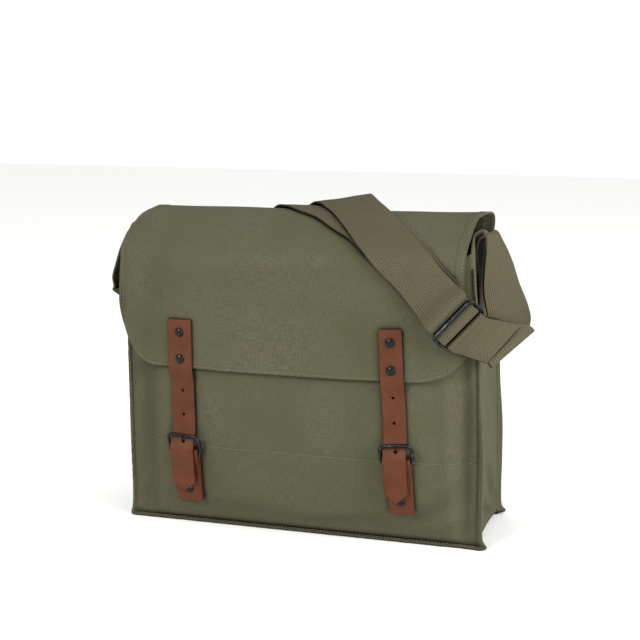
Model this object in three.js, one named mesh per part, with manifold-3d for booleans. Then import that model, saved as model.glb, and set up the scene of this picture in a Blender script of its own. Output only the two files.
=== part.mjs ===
// A square canvas shoulder bag of the kind carried as a medical kit bag.
// Millimetres. +Z is up, +X is to the wearer's right hand seen from the front, the front faces -Y.
// The origin is the middle of the flat bottom.
import * as THREE from 'three';
import { mergeVertices } from 'three/addons/utils/BufferGeometryUtils.js';
import Module from 'manifold-3d';

const wasm = await Module();
wasm.setup();

// Bag body
const BAG_WIDTH = 331;
const BAG_DEPTH = 97;
const BAG_HEIGHT = 285;
const CANVAS = 1.8;
const SEAM_GAP = 0.3;
const FRONT_BULGE = 21;
const BACK_BULGE = 9;
const GUSSET_DENT = 6;
const GUSSET_CORNER = 5;
const TOP_LEAN = -6.5;
const CROWN = { left: -1.5, right: 3 };
const CROWN_SPAN = 0.2;

// Raised seam ridges
const SEAM_REACH = { left: 2.4, right: 4.6 };
const SEAM_PRESSED = 0.45;
const SEAM_PRESSED_FROM = 0.3;
const SEAM_PRESSED_TO = 0.48;
const SEAM_BASE = 1.8;
const SEAM_TIP = 3;
const SEAM_EAR = { left: 0.6, right: 3.2 };
const SEAM_TURN = 2.4;

// Flap
const FLAP_WIDTH = 314;
const FLAP_SHIFT = -9;
const FLAP_REACH = 135;
const FLAP_CORNER = { left: { wide: 35.5, tall: 58 }, right: { wide: 46, tall: 28 } };
const FLAP_CLEAR = 0.7;
const FLAP_FLARE = 7;
const FLAP_FLARE_SPAN = 0.16;
const FLAP_SPREAD = 2.4;
const FLAP_SPREAD_FROM = 0.8;
const FLAP_SPREAD_SPAN = 0.13;

// Leather closures
const LEATHER = 2.2;
const STRAP_CLEAR = 0.5;
const STRAP_ASIDE = 1.4;
const STRAP_STEP = 20;
const STRAP_LIFT = 2.6;
const TAIL_LENGTH = 37;
const TAIL_POINT = 9;
const HOLE_RADIUS = 1.4;
const HOLE_PITCH = 22.4;
const HOLE_PLACES = [2, 1];
const CHAPE_ASIDE = 0.8;
const CHAPE_RIVET = 12;
const CHAPE_LENGTH = 48;
const CHAPE_LEATHER = 1.8;
const RIVET_RADIUS = 4.4;
const RIVET_RISE = 2.4;
const RIVET_SHANK = 1.4;
const RIVET_CLEAR = 0.5;
const RIVET_INSET = 11.5;
const RIVET_PITCH = 24;

// Buckles
const BUCKLE_HEIGHT = 20;
const BUCKLE_WIRE = 3.4;
const BUCKLE_CORNER = 5;
const PRONG_WIRE = 2;
const PRONG_EYE = 2.8;
const PRONG_EYE_WALL = 1.1;
const PRONG_TAPER = 0.75;
const METAL_CLEAR = 0.5;
const BUCKLE_TILT = 1;

// Woven shoulder strap
const WEB_WIDTH = 43.5;
const WEB = 1.8;
const WEB_CLEAR = 0.6;
const SEWN_CLEAR = 0.3;
const LOOP_TOP = 273;
const LOOP_DROP = 88;
const LOOP_REACH = 42;
const WEB_LIFT = 13;
const WEB_BRIDGE = 3.4;
const FOLD_EASE = 0.45;

// Slider on the shoulder strap
const SLIDER_WIRE = 3.2;
const SLIDER_LENGTH = 19;
const SLIDER_CORNER = 3.4;
const SLIDER_LEAD = 7;
const SLIDER_GATHER = 3.2;
const SLIDER_SLACK = 0.7;
const SLIDER_PINCH = 0.93;
const SLIDER_TURN = 47;
const SLIDER_SWING = 14;
const SLIDER_DIP = 30;
const SLIDER_STAND = 4.3;
const SLIDER_X = 146.3;
const SLIDER_Z = 202.9;

// Length of the cutters for holes, and the steps over which slopes are read
const CUT_REACH = 18;
const SLOPE_STEP = 3.5;
const NORMAL_STEP = 0.004;
const BEND_STEP = 0.022;

const HALF_DEPTH = BAG_DEPTH / 2;
const LEFT = -1;
const RIGHT = 1;
const FRONT = -1;
const BACK = 1;

// Colours and finishes
const canvasCloth = { color: 0x62604b, roughness: 0.95, metalness: 0 };
const webbingCloth = { color: 0x6f6a52, roughness: 0.92, metalness: 0 };
const brownLeather = { color: 0x7a4a30, roughness: 0.6, metalness: 0 };
const darkMetal = { color: 0x2c2e31, roughness: 0.35, metalness: 0.9 };

const bag = new THREE.Group();

function addPiece(name, geometry, finish) {
  const mesh = new THREE.Mesh(geometry, new THREE.MeshStandardMaterial(finish));
  mesh.name = name;
  bag.add(mesh);
  return mesh;
}

// Smooth curve through the rows of a table: at runs from 0 at the first row to 1 at the last.
function along(rows, column, at) {
  const reach = THREE.MathUtils.clamp(at, 0, 1) * (rows.length - 1);
  const step = Math.min(Math.floor(reach), rows.length - 2);
  const t = reach - step;
  const before = rows[Math.max(step - 1, 0)][column];
  const start = rows[step][column];
  const end = rows[step + 1][column];
  const after = rows[Math.min(step + 2, rows.length - 1)][column];
  const bend = 2 * before - 5 * start + 4 * end - after;
  const twist = -before + 3 * start - 3 * end + after;
  return 0.5 * (2 * start + (end - before) * t + bend * t * t + twist * t * t * t);
}

// Straight-line reading of a table whose first column is a height share.
function atHeight(rows, column, share) {
  const next = rows.findIndex((row) => row.height >= share);
  if (next <= 0) return rows[next === 0 ? 0 : rows.length - 1][column];
  const low = rows[next - 1];
  const high = rows[next];
  const t = (share - low.height) / (high.height - low.height);
  return THREE.MathUtils.lerp(low[column], high[column], t);
}

// Body form: half width, and how far each panel's bulge has risen, by height.
const BODY_FORM = [
  { height: 0.00, half: 0.991, front: 0.00, back: 0.00 },
  { height: 0.012, half: 0.989, front: 0.02, back: 0.04 },
  { height: 0.035, half: 0.986, front: 0.24, back: 0.24 },
  { height: 0.08, half: 0.981, front: 0.50, back: 0.50 },
  { height: 0.16, half: 0.984, front: 0.72, back: 0.72 },
  { height: 0.27, half: 0.985, front: 0.88, back: 0.90 },
  { height: 0.42, half: 0.982, front: 0.98, back: 1.00 },
  { height: 0.56, half: 0.978, front: 1.00, back: 1.00 },
  { height: 0.70, half: 0.968, front: 0.98, back: 0.95 },
  { height: 0.80, half: 0.960, front: 0.92, back: 0.80 },
  { height: 0.885, half: 0.952, front: 0.72, back: 0.55 },
  { height: 0.955, half: 0.948, front: 0.50, back: 0.20 },
];
const FRONT_RIM = 0.885;
const BACK_RIM = 0.935;

const leanAt = (z) => TOP_LEAN * (z / BAG_HEIGHT) ** 2;
const halfAt = (z) => atHeight(BODY_FORM, 'half', z / BAG_HEIGHT) * BAG_WIDTH / 2;

// Share of the half width at a point, limited to the panel.
function acrossBody(x, z) {
  return THREE.MathUtils.clamp((x - leanAt(z)) / halfAt(z), -1, 1);
}

function frontSurface(x, z) {
  const crest = 1 - acrossBody(x, z) ** 4;
  return -HALF_DEPTH - FRONT_BULGE * crest * atHeight(BODY_FORM, 'front', z / BAG_HEIGHT);
}

function backSurface(x, z) {
  const crest = 1 - acrossBody(x, z) ** 4;
  return HALF_DEPTH + BACK_BULGE * crest * atHeight(BODY_FORM, 'back', z / BAG_HEIGHT);
}

function signedVolume(positions, indices) {
  let volume = 0;
  const corner = (k) => new THREE.Vector3().fromArray(positions, indices[k] * 3);
  for (let k = 0; k < indices.length; k += 3) {
    volume += corner(k).dot(corner(k + 1).cross(corner(k + 2)));
  }
  return volume;
}

// Geometry from shared points and triangles, turned so that its faces point out.
function closedGeometry(points, triangles) {
  const positions = points.flatMap((p) => [p.x, p.y, p.z]);
  const indices = [...triangles];
  if (signedVolume(positions, indices) < 0) indices.reverse();
  const geometry = new THREE.BufferGeometry();
  geometry.setAttribute('position', new THREE.Float32BufferAttribute(positions, 3));
  geometry.setIndex(indices);
  return geometry;
}

// Closed sheet between two grids of points of the same size.
function sheetGeometry(outer, inner) {
  const rows = outer.length;
  const columns = outer[0].length;
  const points = [...outer.flat(), ...inner.flat()];
  const triangles = [];
  const top = (i, j) => i * columns + j;
  const under = (i, j) => rows * columns + top(i, j);
  const quad = (a, b, c, d) => triangles.push(a, b, c, a, c, d);
  for (let i = 0; i < rows - 1; i += 1) {
    for (let j = 0; j < columns - 1; j += 1) {
      quad(top(i, j), top(i, j + 1), top(i + 1, j + 1), top(i + 1, j));
      quad(under(i, j), under(i + 1, j), under(i + 1, j + 1), under(i, j + 1));
    }
    quad(top(i, 0), top(i + 1, 0), under(i + 1, 0), under(i, 0));
    quad(top(i + 1, columns - 1), top(i, columns - 1), under(i, columns - 1), under(i + 1, columns - 1));
  }
  for (let j = 0; j < columns - 1; j += 1) {
    quad(top(0, j + 1), top(0, j), under(0, j), under(0, j + 1));
    quad(top(rows - 1, j), top(rows - 1, j + 1), under(rows - 1, j + 1), under(rows - 1, j));
  }
  return closedGeometry(points, triangles);
}

// Closed bar swept through rings of points; a loop joins its last ring to its first.
function sweptGeometry(rings, loop) {
  const sides = rings[0].length;
  const points = rings.flat();
  const triangles = [];
  const spans = loop ? rings.length : rings.length - 1;
  for (let i = 0; i < spans; i += 1) {
    const here = i * sides;
    const next = ((i + 1) % rings.length) * sides;
    for (let j = 0; j < sides; j += 1) {
      const k = (j + 1) % sides;
      triangles.push(here + j, here + k, next + k, here + j, next + k, next + j);
    }
  }
  if (!loop) {
    const last = (rings.length - 1) * sides;
    for (let j = 1; j < sides - 1; j += 1) {
      triangles.push(0, j + 1, j, last, last + j, last + j + 1);
    }
  }
  return closedGeometry(points, triangles);
}

function asSolid(geometry) {
  const bare = geometry.clone();
  bare.deleteAttribute('normal');
  bare.deleteAttribute('uv');
  const merged = mergeVertices(bare, 1e-4);
  const mesh = new wasm.Mesh({
    numProp: 3,
    vertProperties: new Float32Array(merged.attributes.position.array),
    triVerts: new Uint32Array(merged.index.array),
  });
  return new wasm.Manifold(mesh);
}

function fromSolid(solid) {
  const mesh = solid.getMesh();
  const geometry = new THREE.BufferGeometry();
  geometry.setAttribute('position', new THREE.Float32BufferAttribute(mesh.vertProperties, 3));
  geometry.setIndex(Array.from(mesh.triVerts));
  return geometry;
}

const point = (x, y, z) => new THREE.Vector3(x, y, z);
const shares = (count) => Array.from({ length: count + 1 }, (_, k) => k / count);

// Front and back panels: cloth between the bulged outer surface and one wall inside it.
function panelGeometry(surface, side, rimShare) {
  const columns = shares(12).map((share) => 2 * share - 1).map((t) => t * (1.35 - 0.35 * t * t));
  const heights = BODY_FORM.map((row) => row.height).filter((share) => share < rimShare);
  const rows = [...heights, rimShare].map((share) => share * BAG_HEIGHT);
  const place = (wall) => rows.map((z) => columns.map((t) => {
    const x = leanAt(z) + t * halfAt(z);
    return point(x, surface(x, z) - side * wall, z);
  }));
  return sheetGeometry(place(0), place(CANVAS));
}

addPiece('front_panel', panelGeometry(frontSurface, FRONT, FRONT_RIM), canvasCloth);
addPiece('back_panel', panelGeometry(backSurface, BACK, BACK_RIM), canvasCloth);

// Gusset: one strip down the left side, across the bottom and up the right side. Its sides dent
// inwards between the seams, and its rim reaches up close under the flap.
const GUSSET_RIM = [0.912, 0.944, 0.955, 0.957, 0.957, 0.950, 0.935];

function sideDent(z) {
  return GUSSET_DENT * (0.45 + 0.55 * Math.sin(Math.PI * Math.min(z / (0.9 * BAG_HEIGHT), 1)));
}

// Outer face of a gusset side at a depth y and a height z.
function gussetSurface(side, y, z) {
  const middle = 1 - (y / HALF_DEPTH) ** 2;
  return leanAt(z) + side * (halfAt(z) - sideDent(z) * middle);
}

function gussetGeometry() {
  const inset = CANVAS + SEAM_GAP;
  const depths = shares(6).map((share) => (2 * share - 1) * (HALF_DEPTH - inset));
  const rims = GUSSET_RIM.map((share) => share * BAG_HEIGHT);
  const rises = [1, 0.88, 0.76, 0.63, 0.5, 0.38, 0.26, 0.15, 0.07, 0];
  const bottomSpans = 6;
  const sideRows = (side, wall) => rises.map((rise) => depths.map((y, k) => {
    const z = GUSSET_CORNER + rise * (rims[k] - GUSSET_CORNER);
    return point(gussetSurface(side, y, z) - side * wall, y, z);
  }));
  const bottomRows = (wall) => shares(bottomSpans).map((share) => depths.map((y) => {
    const left = gussetSurface(LEFT, y, 0) + GUSSET_CORNER;
    const right = gussetSurface(RIGHT, y, 0) - GUSSET_CORNER;
    return point(THREE.MathUtils.lerp(left, right, share), y, wall);
  }));
  const place = (wall) => [
    ...sideRows(LEFT, wall),
    ...bottomRows(wall),
    ...sideRows(RIGHT, wall).reverse(),
  ];
  return sheetGeometry(place(0), place(CANVAS));
}

addPiece('gusset', gussetGeometry(), canvasCloth);

// Seam ridges: the joined edges of panel and gusset stand out diagonally down the sides and
// straight out along the bottom, and flare at the lower right corners.
function seamGeometry(side) {
  const cornerZ = 0.035 * BAG_HEIGHT;
  const sideHeights = shares(9).map((share) => {
    return THREE.MathUtils.lerp(FRONT_RIM * 0.975 * BAG_HEIGHT, cornerZ, share);
  });
  const stations = [];
  const addStation = (x, z, outX, reach) => {
    const out = point(outX, side * Math.SQRT1_2, 0).normalize();
    stations.push({ foot: point(x, side * HALF_DEPTH, z), out, reach });
  };
  const floorZ = SEAM_TIP / 2;
  const { left, right } = SEAM_REACH;
  sideHeights.forEach((z) => addStation(leanAt(z) - halfAt(z), z, -Math.SQRT1_2, left));
  addStation(-halfAt(0), floorZ + SEAM_TURN, -1.1, left + SEAM_EAR.left);
  addStation(-halfAt(0) + SEAM_TURN, floorZ, -0.8, right + SEAM_EAR.left);
  shares(6).map((share) => THREE.MathUtils.lerp(-0.93, 0.93, share)).forEach((share) => {
    addStation(share * halfAt(0), floorZ, 0, right);
  });
  addStation(halfAt(0) - SEAM_TURN, floorZ, 0.8, right + SEAM_EAR.right);
  addStation(halfAt(0), floorZ + SEAM_TURN, 1.1, right + SEAM_EAR.right);
  [...sideHeights].reverse().forEach((z) => {
    const pressed = THREE.MathUtils.smoothstep(z / BAG_HEIGHT, SEAM_PRESSED_FROM, SEAM_PRESSED_TO);
    const reach = right * THREE.MathUtils.lerp(1, SEAM_PRESSED, pressed);
    addStation(leanAt(z) + halfAt(z), z, Math.SQRT1_2, reach);
  });
  const rings = stations.map(({ foot, out, reach }, k) => {
    const before = stations[Math.max(k - 1, 0)].foot;
    const after = stations[Math.min(k + 1, stations.length - 1)].foot;
    const run = after.clone().sub(before).normalize();
    const across = run.cross(out).normalize();
    const place = (distance, spread) => {
      return foot.clone().addScaledVector(out, distance).addScaledVector(across, spread);
    };
    return [
      place(SEAM_GAP + SEAM_BASE / 2, -SEAM_BASE / 2),
      place(reach, -SEAM_TIP / 2),
      place(reach, SEAM_TIP / 2),
      place(SEAM_GAP + SEAM_BASE / 2, SEAM_BASE / 2),
    ];
  });
  return sweptGeometry(rings, false);
}

addPiece('front_seam', seamGeometry(FRONT), canvasCloth);
addPiece('back_seam', seamGeometry(BACK), canvasCloth);

// The wrap is the outer skin that the flap follows: up the back, over the top and down the front.
// depth is a share of the half depth, bulge a share of that side's bulge, height one of the height.
const WRAP = [
  { depth: 1.00, bulge: 1.00, height: 0.550 },
  { depth: 1.00, bulge: 1.00, height: 0.680 },
  { depth: 1.00, bulge: 0.97, height: 0.800 },
  { depth: 1.00, bulge: 0.86, height: 0.885 },
  { depth: 0.99, bulge: 0.50, height: 0.950 },
  { depth: 0.90, bulge: 0.10, height: 0.986 },
  { depth: 0.66, bulge: 0.00, height: 0.999 },
  { depth: 0.28, bulge: 0.00, height: 0.997 },
  { depth: -0.24, bulge: 0.00, height: 0.985 },
  { depth: -0.58, bulge: -0.16, height: 0.960 },
  { depth: -0.88, bulge: -0.46, height: 0.927 },
  { depth: -1.00, bulge: -0.85, height: 0.885 },
  { depth: -1.00, bulge: -1.00, height: 0.820 },
  { depth: -1.00, bulge: -1.00, height: 0.720 },
  { depth: -1.00, bulge: -1.00, height: 0.610 },
  { depth: -1.00, bulge: -1.00, height: 0.500 },
];
const WRAP_TOP = 0.45;
const WRAP_BACK_BEND = 0.33;

function wrapPoint(x, at) {
  const edge = acrossBody(x, 0.75 * BAG_HEIGHT) ** 4;
  const frontSkin = FRONT_BULGE * (1 - 0.55 * edge) + FLAP_CLEAR + CANVAS;
  const backSkin = BACK_BULGE * (1 - 0.55 * edge) + FLAP_CLEAR + CANVAS;
  const bulge = along(WRAP, 'bulge', at);
  const y = along(WRAP, 'depth', at) * HALF_DEPTH + bulge * (bulge < 0 ? frontSkin : backSkin);
  const overTop = Math.max(0, 1 - Math.abs(at - WRAP_TOP) / CROWN_SPAN);
  const crown = (x < 0 ? CROWN.left : CROWN.right) * (x / (BAG_WIDTH / 2)) ** 2 * overTop;
  return point(x, y, along(WRAP, 'height', at) * BAG_HEIGHT + crown);
}

// Outward direction of the wrap, and a point at a distance outside it.
function wrapNormal(x, at) {
  const run = wrapPoint(x, at + NORMAL_STEP).sub(wrapPoint(x, at - NORMAL_STEP));
  return point(0, run.z, -run.y).normalize();
}

function offWrap(x, at, distance) {
  return wrapPoint(x, at).addScaledVector(wrapNormal(x, at), distance);
}

// Where the wrap passes a height, on its front or its back run.
function wrapAt(x, z, side) {
  let low = side === FRONT ? WRAP_TOP : 0;
  let high = side === FRONT ? 1 : WRAP_TOP;
  for (let k = 0; k < 40; k += 1) {
    const middle = (low + high) / 2;
    const above = wrapPoint(x, middle).z > z;
    if (above === (side === FRONT)) low = middle;
    else high = middle;
  }
  return (low + high) / 2;
}

// Flap: canvas sewn on the back, with its two lower front corners rounded.
const FLAP_SEAM = 0.875 * BAG_HEIGHT;
const FLAP_BOTTOM = BAG_HEIGHT - FLAP_REACH;

function flapEdgeHeight(t) {
  const { wide, tall } = t < 0 ? FLAP_CORNER.left : FLAP_CORNER.right;
  const inside = (1 - Math.abs(t)) * FLAP_WIDTH / 2;
  const into = Math.max(0, wide - inside) / wide;
  return FLAP_BOTTOM + tall * (1 - Math.sqrt(Math.max(0, 1 - into * into)));
}

function flapGeometry() {
  const columns = shares(20).map((share) => -Math.cos(Math.PI * share));
  const rows = shares(24);
  const place = (wall) => rows.map((share) => columns.map((t) => {
    const x = FLAP_SHIFT + t * FLAP_WIDTH / 2;
    const start = wrapAt(x, FLAP_SEAM, BACK);
    const end = wrapAt(x, flapEdgeHeight(t), FRONT);
    const at = THREE.MathUtils.lerp(start, end, share);
    const curl = Math.max(0, 1 - ((at - WRAP_BACK_BEND) / FLAP_FLARE_SPAN) ** 2);
    const spread = THREE.MathUtils.clamp((at - FLAP_SPREAD_FROM) / FLAP_SPREAD_SPAN, 0, 1);
    const flare = (FLAP_FLARE * curl + FLAP_SPREAD * spread) * Math.max(0, t) ** 6;
    return offWrap(x, at, -wall).add(point(flare, 0, 0));
  }));
  return sheetGeometry(place(0), place(CANVAS));
}

addPiece('flap', flapGeometry(), canvasCloth);

// Closures: where the strap runs, as shares of the flap's half width, then its top edge and the
// middle of its buckle, as shares of the bag's height.
const CLOSURES = [
  { name: 'left', topX: -0.6127, footX: -0.6078, top: 0.680, buckle: 0.279 },
  { name: 'right', topX: 0.6121, footX: 0.6624, top: 0.687, buckle: 0.3035 },
];

// Widths of the hand-cut strap and chape, and of the buckle, which differ a little.
const CLOSURE_WIDTHS = {
  left: { strap: 22.8, chape: 24.8, buckle: 34.2 },
  right: { strap: 20.4, chape: 22.2, buckle: 31.2 },
};

// Stack of layers off the canvas where the strap passes the buckle.
const STRAP_LOW = STRAP_CLEAR + LEATHER / 2;
const CHAPE_LOW = STRAP_CLEAR + CHAPE_LEATHER / 2;
const CHAPE_TURN = BUCKLE_WIRE / 2 + METAL_CLEAR + CHAPE_LEATHER / 2;
const LOWER_BAR_OFF = CHAPE_LOW + CHAPE_TURN;
const STRAP_OVER = LOWER_BAR_OFF + CHAPE_TURN + CHAPE_LEATHER / 2 + METAL_CLEAR + LEATHER / 2;
const STRAP_UNDER = STRAP_LOW + STRAP_LIFT;
const UPPER_BAR_OFF = STRAP_UNDER + LEATHER / 2 + METAL_CLEAR + BUCKLE_WIRE / 2 + BUCKLE_TILT;
const CHAPE_TOP_LAYER = CHAPE_LOW + CHAPE_LEATHER + METAL_CLEAR;
const CHAPE_FACE = CHAPE_TOP_LAYER + CHAPE_LEATHER / 2;
const TAIL_OFF = CHAPE_FACE + RIVET_CLEAR + RIVET_RISE + METAL_CLEAR + LEATHER / 2;

function closurePlan({ topX, footX, top, buckle }) {
  const strapTop = top * BAG_HEIGHT;
  const middle = buckle * BAG_HEIGHT;
  const reach = (BUCKLE_HEIGHT - BUCKLE_WIRE) / 2;
  const lowerBar = middle - reach;
  const chapeFoot = lowerBar - CHAPE_LENGTH;
  const strapX = (z) => {
    const share = (strapTop - z) / (strapTop - chapeFoot);
    return FLAP_SHIFT + THREE.MathUtils.lerp(topX, footX, share) * FLAP_WIDTH / 2;
  };
  return {
    strapTop,
    upperBar: middle + reach,
    lowerBar,
    chapeFoot,
    strapX,
    buckleX: (z) => strapX(z) + STRAP_ASIDE,
    chapeX: (z) => strapX(z) + STRAP_ASIDE + CHAPE_ASIDE,
  };
}

// Skin that a strap lies on: the flap above the flap's edge, the front panel below it.
function skinAt(x, z) {
  const foot = FLAP_BOTTOM - 0.75 * STRAP_STEP;
  const overFlap = THREE.MathUtils.smoothstep(z, foot, FLAP_BOTTOM - 0.05 * STRAP_STEP);
  const panel = frontSurface(x, z);
  return overFlap > 0 ? THREE.MathUtils.lerp(panel, wrapPoint(x, wrapAt(x, z, FRONT)).y, overFlap) : panel;
}

function skinSlope(x, z) {
  return (skinAt(x + SLOPE_STEP, z) - skinAt(x - SLOPE_STEP, z)) / (2 * SLOPE_STEP);
}

function onSkin(x, z, off) {
  return point(x, skinAt(x, z) - off * Math.hypot(1, skinSlope(x, z)), z);
}

// Turn that stands a piece made along -Y square on the skin.
function squareToSkin(x, z) {
  const climb = (skinAt(x, z + SLOPE_STEP) - skinAt(x, z - SLOPE_STEP)) / (2 * SLOPE_STEP);
  const out = point(skinSlope(x, z), -1, climb).normalize();
  return new THREE.Quaternion().setFromUnitVectors(point(0, -1, 0), out);
}

// Leather strip through rows of { z, off }; its last row is cut back by cut(t) across the strip.
function leatherGeometry(rows, centreX, width, thickness, cut) {
  const spans = 2 * (rows.length - 1);
  const sideways = [-1, 0, 1];
  const lines = shares(spans).map((share) => ({
    z: along(rows, 'z', share),
    off: along(rows, 'off', share),
    end: THREE.MathUtils.smoothstep(share, 1 - 2.2 / spans, 1),
  }));
  const place = (half) => lines.map(({ z, off, end }, k) => {
    const before = lines[Math.max(k - 1, 0)];
    const after = lines[Math.min(k + 1, spans)];
    const size = Math.hypot(after.z - before.z, after.off - before.off);
    const rise = (after.off - before.off) / size;
    const fall = (after.z - before.z) / size;
    const lean = centreX(z + 1) - centreX(z);
    return sideways.map((t) => {
      const x = centreX(z) + t * width / 2;
      const level = z - lean * t * width / 2;
      return onSkin(x, level - rise * half + cut(t) * end, off + fall * half);
    });
  });
  return sheetGeometry(place(thickness / 2), place(-thickness / 2));
}

// Centre line of a strap, from its top down over the flap's edge and the buckle to its tail.
function strapRows({ strapTop, upperBar, lowerBar }) {
  const edge = FLAP_BOTTOM;
  const foot = edge - STRAP_STEP;
  const near = upperBar + 0.8 * BUCKLE_HEIGHT;
  return [
    { z: strapTop, off: STRAP_LOW },
    { z: THREE.MathUtils.lerp(strapTop, edge, 0.5), off: STRAP_LOW },
    { z: edge + 0.15 * STRAP_STEP, off: STRAP_LOW },
    { z: edge - 0.45 * STRAP_STEP, off: STRAP_LOW },
    { z: foot, off: STRAP_LOW },
    { z: THREE.MathUtils.lerp(foot, near, 0.5), off: STRAP_LOW },
    { z: near, off: STRAP_LOW },
    { z: upperBar + 0.35 * BUCKLE_HEIGHT, off: STRAP_LOW + 0.12 * STRAP_LIFT },
    { z: upperBar, off: STRAP_LOW + 0.81 * STRAP_LIFT },
    { z: upperBar - 0.3 * BUCKLE_HEIGHT, off: THREE.MathUtils.lerp(STRAP_UNDER, STRAP_OVER, 0.52) },
    { z: lowerBar + 0.2 * BUCKLE_HEIGHT, off: STRAP_OVER },
    { z: lowerBar - 0.15 * BUCKLE_HEIGHT, off: STRAP_OVER },
    { z: lowerBar - 0.6 * BUCKLE_HEIGHT, off: STRAP_OVER },
    { z: lowerBar - 1.1 * BUCKLE_HEIGHT, off: TAIL_OFF },
    { z: lowerBar - TAIL_LENGTH + TAIL_POINT, off: TAIL_OFF },
  ];
}

// Centre line of a chape: up from its foot, round the lower bar and down to its foot again.
function chapeRows({ lowerBar, chapeFoot }) {
  const turn = shares(4).map((share) => ({
    z: lowerBar + CHAPE_TURN * Math.sin(Math.PI * share),
    off: LOWER_BAR_OFF - CHAPE_TURN * Math.cos(Math.PI * share),
  }));
  const middle = THREE.MathUtils.lerp(chapeFoot, lowerBar, 0.5);
  return [
    { z: chapeFoot, off: CHAPE_LOW },
    { z: middle, off: CHAPE_LOW },
    { z: lowerBar - 0.3 * BUCKLE_HEIGHT, off: CHAPE_LOW },
    ...turn,
    { z: lowerBar - 0.3 * BUCKLE_HEIGHT, off: LOWER_BAR_OFF + 0.68 * CHAPE_TURN },
    { z: lowerBar - 0.75 * BUCKLE_HEIGHT, off: CHAPE_TOP_LAYER + METAL_CLEAR },
    { z: middle, off: CHAPE_TOP_LAYER },
    { z: chapeFoot, off: CHAPE_TOP_LAYER },
  ];
}

// Round cutter through the leather, square to the skin.
function cutterAt(x, z, off, radius) {
  const geometry = new THREE.CylinderGeometry(radius, radius, CUT_REACH, 10);
  geometry.applyQuaternion(squareToSkin(x, z));
  const place = onSkin(x, z, off);
  geometry.translate(place.x, place.y, place.z);
  return asSolid(geometry);
}

// Domed rivet: its head faces -Y and its shank goes back through the leather.
function rivetGeometry(shank) {
  const profile = [new THREE.Vector2(0, -RIVET_RISE)];
  shares(3).slice(1).forEach((share) => {
    const angle = share * Math.PI / 2;
    profile.push(new THREE.Vector2(RIVET_RADIUS * Math.sin(angle), -RIVET_RISE * Math.cos(angle)));
  });
  profile.push(new THREE.Vector2(RIVET_SHANK, 0));
  profile.push(new THREE.Vector2(RIVET_SHANK, shank));
  profile.push(new THREE.Vector2(0, shank));
  return outward(new THREE.LatheGeometry(profile, 14));
}

function outward(geometry) {
  const bare = geometry.clone();
  bare.deleteAttribute('normal');
  bare.deleteAttribute('uv');
  const merged = mergeVertices(bare, 1e-4);
  const positions = Array.from(merged.attributes.position.array);
  const indices = Array.from(merged.index.array).reduce((kept, corner, k, all) => {
    if (k % 3 !== 2) return kept;
    const [a, b, c] = all.slice(k - 2, k + 1);
    if (a !== b && b !== c && a !== c) kept.push(a, b, c);
    return kept;
  }, []);
  if (signedVolume(positions, indices) < 0) indices.reverse();
  merged.setIndex(indices);
  return merged;
}

function addRivet(name, x, z, off, shank) {
  const rivet = addPiece(name, rivetGeometry(shank), darkMetal);
  rivet.position.copy(onSkin(x, z, off));
  rivet.quaternion.copy(squareToSkin(x, z));
}

// Round wire through a list of points, tapering to its last point if an end radius is given.
function wireGeometry(points, radius, sides, loop, endRadius = radius) {
  const rings = points.map((centre, k) => {
    const count = points.length;
    const before = points[loop ? (k + count - 1) % count : Math.max(k - 1, 0)];
    const after = points[loop ? (k + 1) % count : Math.min(k + 1, count - 1)];
    const run = after.clone().sub(before).normalize();
    const side = point(0, 1, 0).cross(run).lengthSq() > 0.2 ? point(0, 1, 0) : point(1, 0, 0);
    const first = side.clone().addScaledVector(run, -side.dot(run)).normalize();
    const second = run.clone().cross(first);
    const size = THREE.MathUtils.lerp(radius, endRadius, loop ? 0 : k / (count - 1));
    return shares(sides).slice(0, sides).map((share) => {
      const angle = 2 * Math.PI * share;
      return centre.clone()
        .addScaledVector(first, size * Math.cos(angle))
        .addScaledVector(second, size * Math.sin(angle));
    });
  });
  return sweptGeometry(rings, loop);
}

// Centre line of a rounded rectangle in the XZ plane, with one corner radius above and one below.
function frameLine(width, height, upperRadius, lowerRadius) {
  const corners = [
    { x: 1, z: 1, radius: upperRadius },
    { x: -1, z: 1, radius: upperRadius },
    { x: -1, z: -1, radius: lowerRadius },
    { x: 1, z: -1, radius: lowerRadius },
  ];
  return corners.flatMap(({ x, z, radius }, corner) => shares(3).map((share) => {
    const angle = (corner + share) * Math.PI / 2;
    return point(
      x * (width / 2 - radius) + radius * Math.cos(angle),
      0,
      z * (height / 2 - radius) + radius * Math.sin(angle),
    );
  }));
}

// Closure parts share the buckle's own frame: up from the lower bar to the upper, out from the bag.
function buckleFrame(plan) {
  const low = onSkin(plan.buckleX(plan.lowerBar), plan.lowerBar, LOWER_BAR_OFF);
  const high = onSkin(plan.buckleX(plan.upperBar), plan.upperBar, UPPER_BAR_OFF);
  const up = high.clone().sub(low);
  const tall = up.length();
  up.normalize();
  const slope = skinSlope(low.x, plan.lowerBar);
  const across = point(1, slope, 0).normalize();
  across.addScaledVector(up, -across.dot(up)).normalize();
  const inward = up.clone().cross(across);
  const matrix = new THREE.Matrix4().makeBasis(across, inward, up);
  matrix.setPosition(low.clone().lerp(high, 0.5));
  return { matrix, tall };
}

// Prong: from its eye on the lower bar, dipping through the strap's hole, up onto the upper bar.
const PRONG_LINE = [
  { rise: 0.42, out: 0.15 },
  { rise: 0.62, out: -0.3 },
  { rise: 0.84, out: -1.1 },
];

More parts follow.
